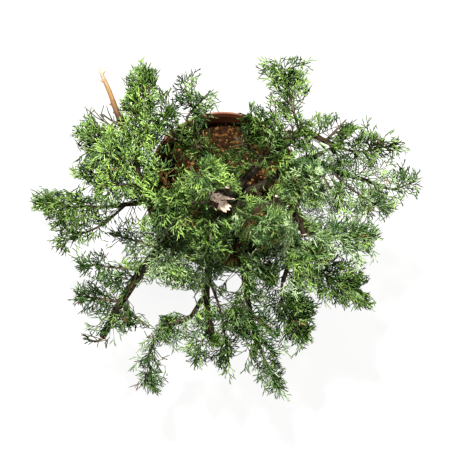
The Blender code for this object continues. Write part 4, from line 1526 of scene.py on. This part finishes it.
def make_limbs(limbs, collars):
    bark = bark_paint()
    dead = dead_paint()
    for name, (line, radii, first, last) in limbs.items():
        is_trunk = name == "trunk"
        is_dead = name == "jin"
        start = line[0] if is_trunk else line[0] - first * LIMB_ROOT
        fine = smooth_line([start, *line[1:]], 4)
        steps = len(fine) - 1
        thick = np.interp(np.arange(steps + 1) * (len(radii) - 1) / steps, range(len(radii)), radii)
        if is_trunk:
            thick[-1] *= TOP_TAPER
        if is_dead:
            thick = [size + JIN_EXTRA * min(k / steps, 6 * (1 - k / steps)) for k, size in enumerate(thick)]
            thick[-1] = JIN_TIP
        pieces = [Wood(fine, thick, not is_trunk and not is_dead, first, last)]
        pieces += [Wood(*collar) for collar in collars.get(name, [])]
        for limb, *place, radius in STUBS:
            if limb == name:
                pieces.append(Wood(stub_line(line, *place), [radius * 1.2, radius, radius * 0.85], True))
        if is_trunk:
            pieces += torn_top(line[-1])
        if is_dead:
            pieces += [Wood(stub_line(line, *nub), JIN_NUB_RADII) for nub in JIN_NUBS]
        knots = [(along(line, share)[0], radius) for limb, share, radius in KNOTS if limb == name]
        torn_from = line[-1].z - TORN_REACH if is_trunk else None
        paint, slot = (dead, "deadwood") if is_dead else (bark, "bark")
        make_wood(name, pieces, knots, paint, torn_from)


def torn_top(top):
    """Split wood round the trunk's torn top."""
    pieces = []
    for across, back, bearing, lean, height, radius in SHARDS:
        foot = top + Vector((across, back, -SHARD_FOOT))
        way = direction(bearing, 90 - lean)
        bends = [foot, foot + way * (height + SHARD_FOOT) * 0.6, foot + way * (height + SHARD_FOOT)]
        pieces.append(Wood(bends, [radius, radius * 0.75, SHARD_TIP]))
    return pieces


def limb_finder(limbs):
    """A test of whether a point is in or against a limb."""
    spots = []
    for line, radii, _, _ in limbs.values():
        for a, b, thick, thin in zip(line, line[1:], radii, radii[1:]):
            steps = max(1, round((b - a).length / 3))
            sizes = tapered(thick, thin, steps + 1)
            spots += [(a.lerp(b, k / steps), size) for k, size in enumerate(sizes)]
    tree = KDTree(len(spots))
    for k, (spot, _) in enumerate(spots):
        tree.insert(spot, k)
    tree.balance()

    def near(point):
        _, k, distance = tree.find(point)
        return distance < spots[k][1] + LIMB_MARGIN

    return near


def turned(name, profile):
    """A closed wall turned about the upright axis."""
    shape = bmesh.new()
    verts = [shape.verts.new((radius * MM, 0, height * MM)) for radius, height in profile]
    edges = [shape.edges.new(pair) for pair in zip(verts, verts[1:])]
    bmesh.ops.spin(
        shape, geom=verts + edges, cent=(0, 0, 0), axis=UP, dvec=(0, 0, 0),
        angle=math.tau, steps=TURN_STEPS, use_merge=True, use_duplicate=False,
    )
    bmesh.ops.remove_doubles(shape, verts=shape.verts, dist=1e-6)
    bmesh.ops.recalc_face_normals(shape, faces=shape.faces)
    return built(name, shape)


def drill(thing, place):
    """Cuts one drain hole through the floor of the pot."""
    shape = bmesh.new()
    bmesh.ops.create_cone(
        shape, cap_ends=True, segments=DRAIN_SIDES, radius1=DRAIN_RADIUS * MM, radius2=DRAIN_RADIUS * MM,
        depth=FLOOR * 4 * MM, matrix=Matrix.Translation(place * MM),
    )
    cutter = built("drill", shape)
    cut = thing.modifiers.new("hole", "BOOLEAN")
    cut.operation = "DIFFERENCE"
    cut.object = cutter
    apply_modifiers(thing)
    bpy.data.objects.remove(cutter, do_unlink=True)


def hand_over_turned(thing, paint, node):
    """The pot or the soil's bed, with its sharp edges kept."""
    hand_over(thing, paint, [node])
    thing.data.set_sharp_from_angle(angle=math.radians(SHARP_EDGE))


def pot_wall(height):
    """The radius of the pot's outside at a height, below its band."""
    return BASE_RADIUS + POT_SLOPE * height


def arc(radius, height, size, start, stop, steps=4):
    """A rounded corner about a point of a profile."""
    turns = [math.radians(start + (stop - start) * k / steps) for k in range(steps + 1)]
    return [(radius + math.cos(turn) * size, height + math.sin(turn) * size) for turn in turns]


def make_pot():
    band_foot = POT_HEIGHT - BAND_HEIGHT
    lip = WALL / 2 - 0.1
    thing = turned("pot_shell", [
        (0, 0), (BASE_RADIUS - 9, 0), (BASE_RADIUS - 7, 1.2), (BASE_RADIUS - 5, 1.2), (BASE_RADIUS - 4, 0),
        *arc(BASE_RADIUS - 2, 2, 2, -90, 0),
        (pot_wall(band_foot) - 0.2, band_foot - 1.5), (pot_wall(band_foot), band_foot),
        *arc(pot_wall(band_foot) + BAND_STEP - 1, band_foot + 1.2, 1, -90, 0),
        *arc(RIM_RADIUS - lip, POT_HEIGHT - lip, lip, 0, 180, 8),
        (pot_wall(POT_HEIGHT - 2) - WALL + 1, POT_HEIGHT - 4),
        (pot_wall(SOIL_HEIGHT) - WALL, SOIL_HEIGHT), (pot_wall(FLOOR) - WALL, FLOOR), (0, FLOOR),
    ])
    for k in range(DRAIN_HOLES):
        drill(thing, about_axis(math.tau * k / DRAIN_HOLES, DRAIN_RING, FLOOR / 2))
    hand_over_turned(thing, pot_paint(), "pot")


def soil_top(radius):
    """Height of the soil at a distance from the middle."""
    return SOIL_HEIGHT + SOIL_DOME * (1 - min(1, max(0, radius - DOME_LEVEL) / DOME_FALL))


def soil_edge(height):
    return pot_wall(height) - WALL - GAP


def make_soil():
    """The bed that fills the pot and three colours of granules lying on it."""
    paints = {name: grain_paint(name, colour) for name, (colour, _, _) in GRAINS.items()}
    low = FLOOR + GAP
    high = SOIL_HEIGHT + SOIL_DOME - BED_DEPTH
    edge = SOIL_HEIGHT - 2
    profile = [(0, low), (soil_edge(low), low), (soil_edge(edge), edge), (DOME_LEVEL, high), (0, high)]
    hand_over_turned(turned("soil_bed", profile), paints["dark"], "soil")
    for name, grains in plan_grains().items():
        hand_over(piece_from("soil_grains_" + name, *merged(grains)), paints[name])


def pebble():
    """Corners and triangles of a plain grain."""
    shape = bmesh.new()
    bmesh.ops.create_icosphere(shape, subdivisions=1, radius=1)
    unit = np.array([tuple(vert.co) for vert in shape.verts])
    faces = np.array([[vert.index for vert in face.verts] for face in shape.faces])
    shape.free()
    return unit, faces


def plan_grains():
    """The granules of each colour, on a loose grid over the soil."""
    unit, faces = pebble()
    chance = random.Random(SEEDS["granules"])
    limit = soil_edge(SOIL_HEIGHT) - GRAIN_MARGIN
    grains = {name: [] for name in GRAINS}
    rows = int(limit / (GRAIN_SPACING * GRAIN_ROW)) + 1
    grid = [(row, column) for row in range(-rows, rows + 1) for column in range(-rows - 4, rows + 5)]
    for row, column in grid:
        x = (column + 0.5 * (row % 2)) * GRAIN_SPACING + chance.uniform(-GRAIN_SHIFT, GRAIN_SHIFT)
        y = row * GRAIN_SPACING * GRAIN_ROW + chance.uniform(-GRAIN_SHIFT, GRAIN_SHIFT)
        out = math.hypot(x, y)
        if out > limit:
            continue
        size = chance.uniform(*GRAIN_SIZE) * (1 if chance.random() < USUAL_GRAINS else BIG_GRAIN)
        turn = Quaternion([chance.gauss(0, 1) for _ in range(4)])
        squash = Matrix.Diagonal([chance.uniform(*span) for span in GRAIN_SQUASH])
        turn.normalize()
        lumps = np.array([[chance.uniform(*GRAIN_LUMPS)] for _ in unit])
        shape = np.array(turn.to_matrix() @ squash) * size
        middle = np.array((x, y, soil_top(out) - GRAIN_SINK + chance.uniform(0, GRAIN_LIFT)))
        # Painted shade: towards the back of the pot the granules turn dark more often and pale less often
        darkening = max(0, min(1, (y - PAINTED_SHADE_FROM) / PAINTED_SHADE_OVER))
        shares = [share + change * darkening for _, share, change in GRAINS.values()]
        kind = chance.choices(list(GRAINS), shares)[0]
        grains[kind].append(((unit * lumps) @ shape.T + middle, faces))
    return grains


def make_stage():
    """A plain pale floor, three lights above the plant and an even pale surround."""
    shape = bmesh.new()
    bmesh.ops.create_grid(shape, x_segments=1, y_segments=1, size=FLOOR_REACH)
    floor = built("floor", shape)
    floor.data.materials.append(floor_paint())
    for name, place, size, power in LIGHTS:
        data = bpy.data.lights.new(name, "AREA")
        data.shape = "DISK"
        data.size = size
        data.energy = power
        data.color = LIGHT_COLOUR
        lamp = placed(name, data)
        lamp.location = place
        lamp.rotation_euler = (LIGHT_AIM - Vector(place)).to_track_quat("-Z", "Y").to_euler()
    world = bpy.data.worlds.new("surround")
    world.use_nodes = True
    back = world.node_tree.nodes["Background"]
    back.inputs["Color"].default_value = SURROUND_COLOUR
    back.inputs["Strength"].default_value = SURROUND_STRENGTH
    bpy.context.scene.world = world
    bpy.context.scene.view_settings.view_transform = "Standard"


def make_camera():
    data = bpy.data.cameras.new("camera")
    data.angle = 2 * math.atan(PICTURE_SIDE / 2 / FOCAL_PIXELS)
    data.clip_start = NEAREST_SEEN
    camera = placed("camera", data)
    camera.location = Vector(CAMERA_PLACE) * MM
    bpy.context.scene.camera = camera


def solids_taken(limbs, collars, masses):
    """The solids of the limbs and stems, which the source's sprays keep clear of."""
    taken = Taken()
    for name, (line, radii, first, last) in limbs.items():
        sides = TRUNK_SIDES if name == "trunk" else limb_sides(radii[0])
        taken.add(name, tube(line, radii, sides, first, last))
        for ends, sizes in collars.get(name, []):
            taken.add(name, tube(ends, sizes, limb_sides(sizes[-1])))
    for name, *place, radius in STUBS:
        ends = stub_line(limbs[name].line, *place)[::2]
        taken.add(name, tube(ends, [radius * 1.2, radius * 0.8], 6))
    for name, mass in masses.items():
        taken.add(name, tube(mass.line, mass.radii, 4, mass.way))
    return taken


def make_plant():
    limbs, collars = plan_limbs()
    masses = plan_masses(limbs, collars)
    taken = solids_taken(limbs, collars, masses)
    leaves = Leaves(masses, limb_finder(limbs))
    for name, mass in masses.items():
        chance = random.Random(mass.number * SEEDS["branchlets"] + 5)
        for shoot in grow(name, masses, taken) + more_shoots(name, masses):
            leaves.dress(name, shoot, chance)
    chance = random.Random(SEEDS["limb branchlets"])
    for name, shoot, look in limb_shoots(limbs, masses):
        leaves.dress(name, shoot, chance, within=False, look=look)
    make_leaves(leaves)
    make_twigs(leaves, masses, plan_bare_twigs(limbs))
    make_limbs(limbs, collars)


make_camera()
make_stage()
make_pot()
make_soil()
make_plant()
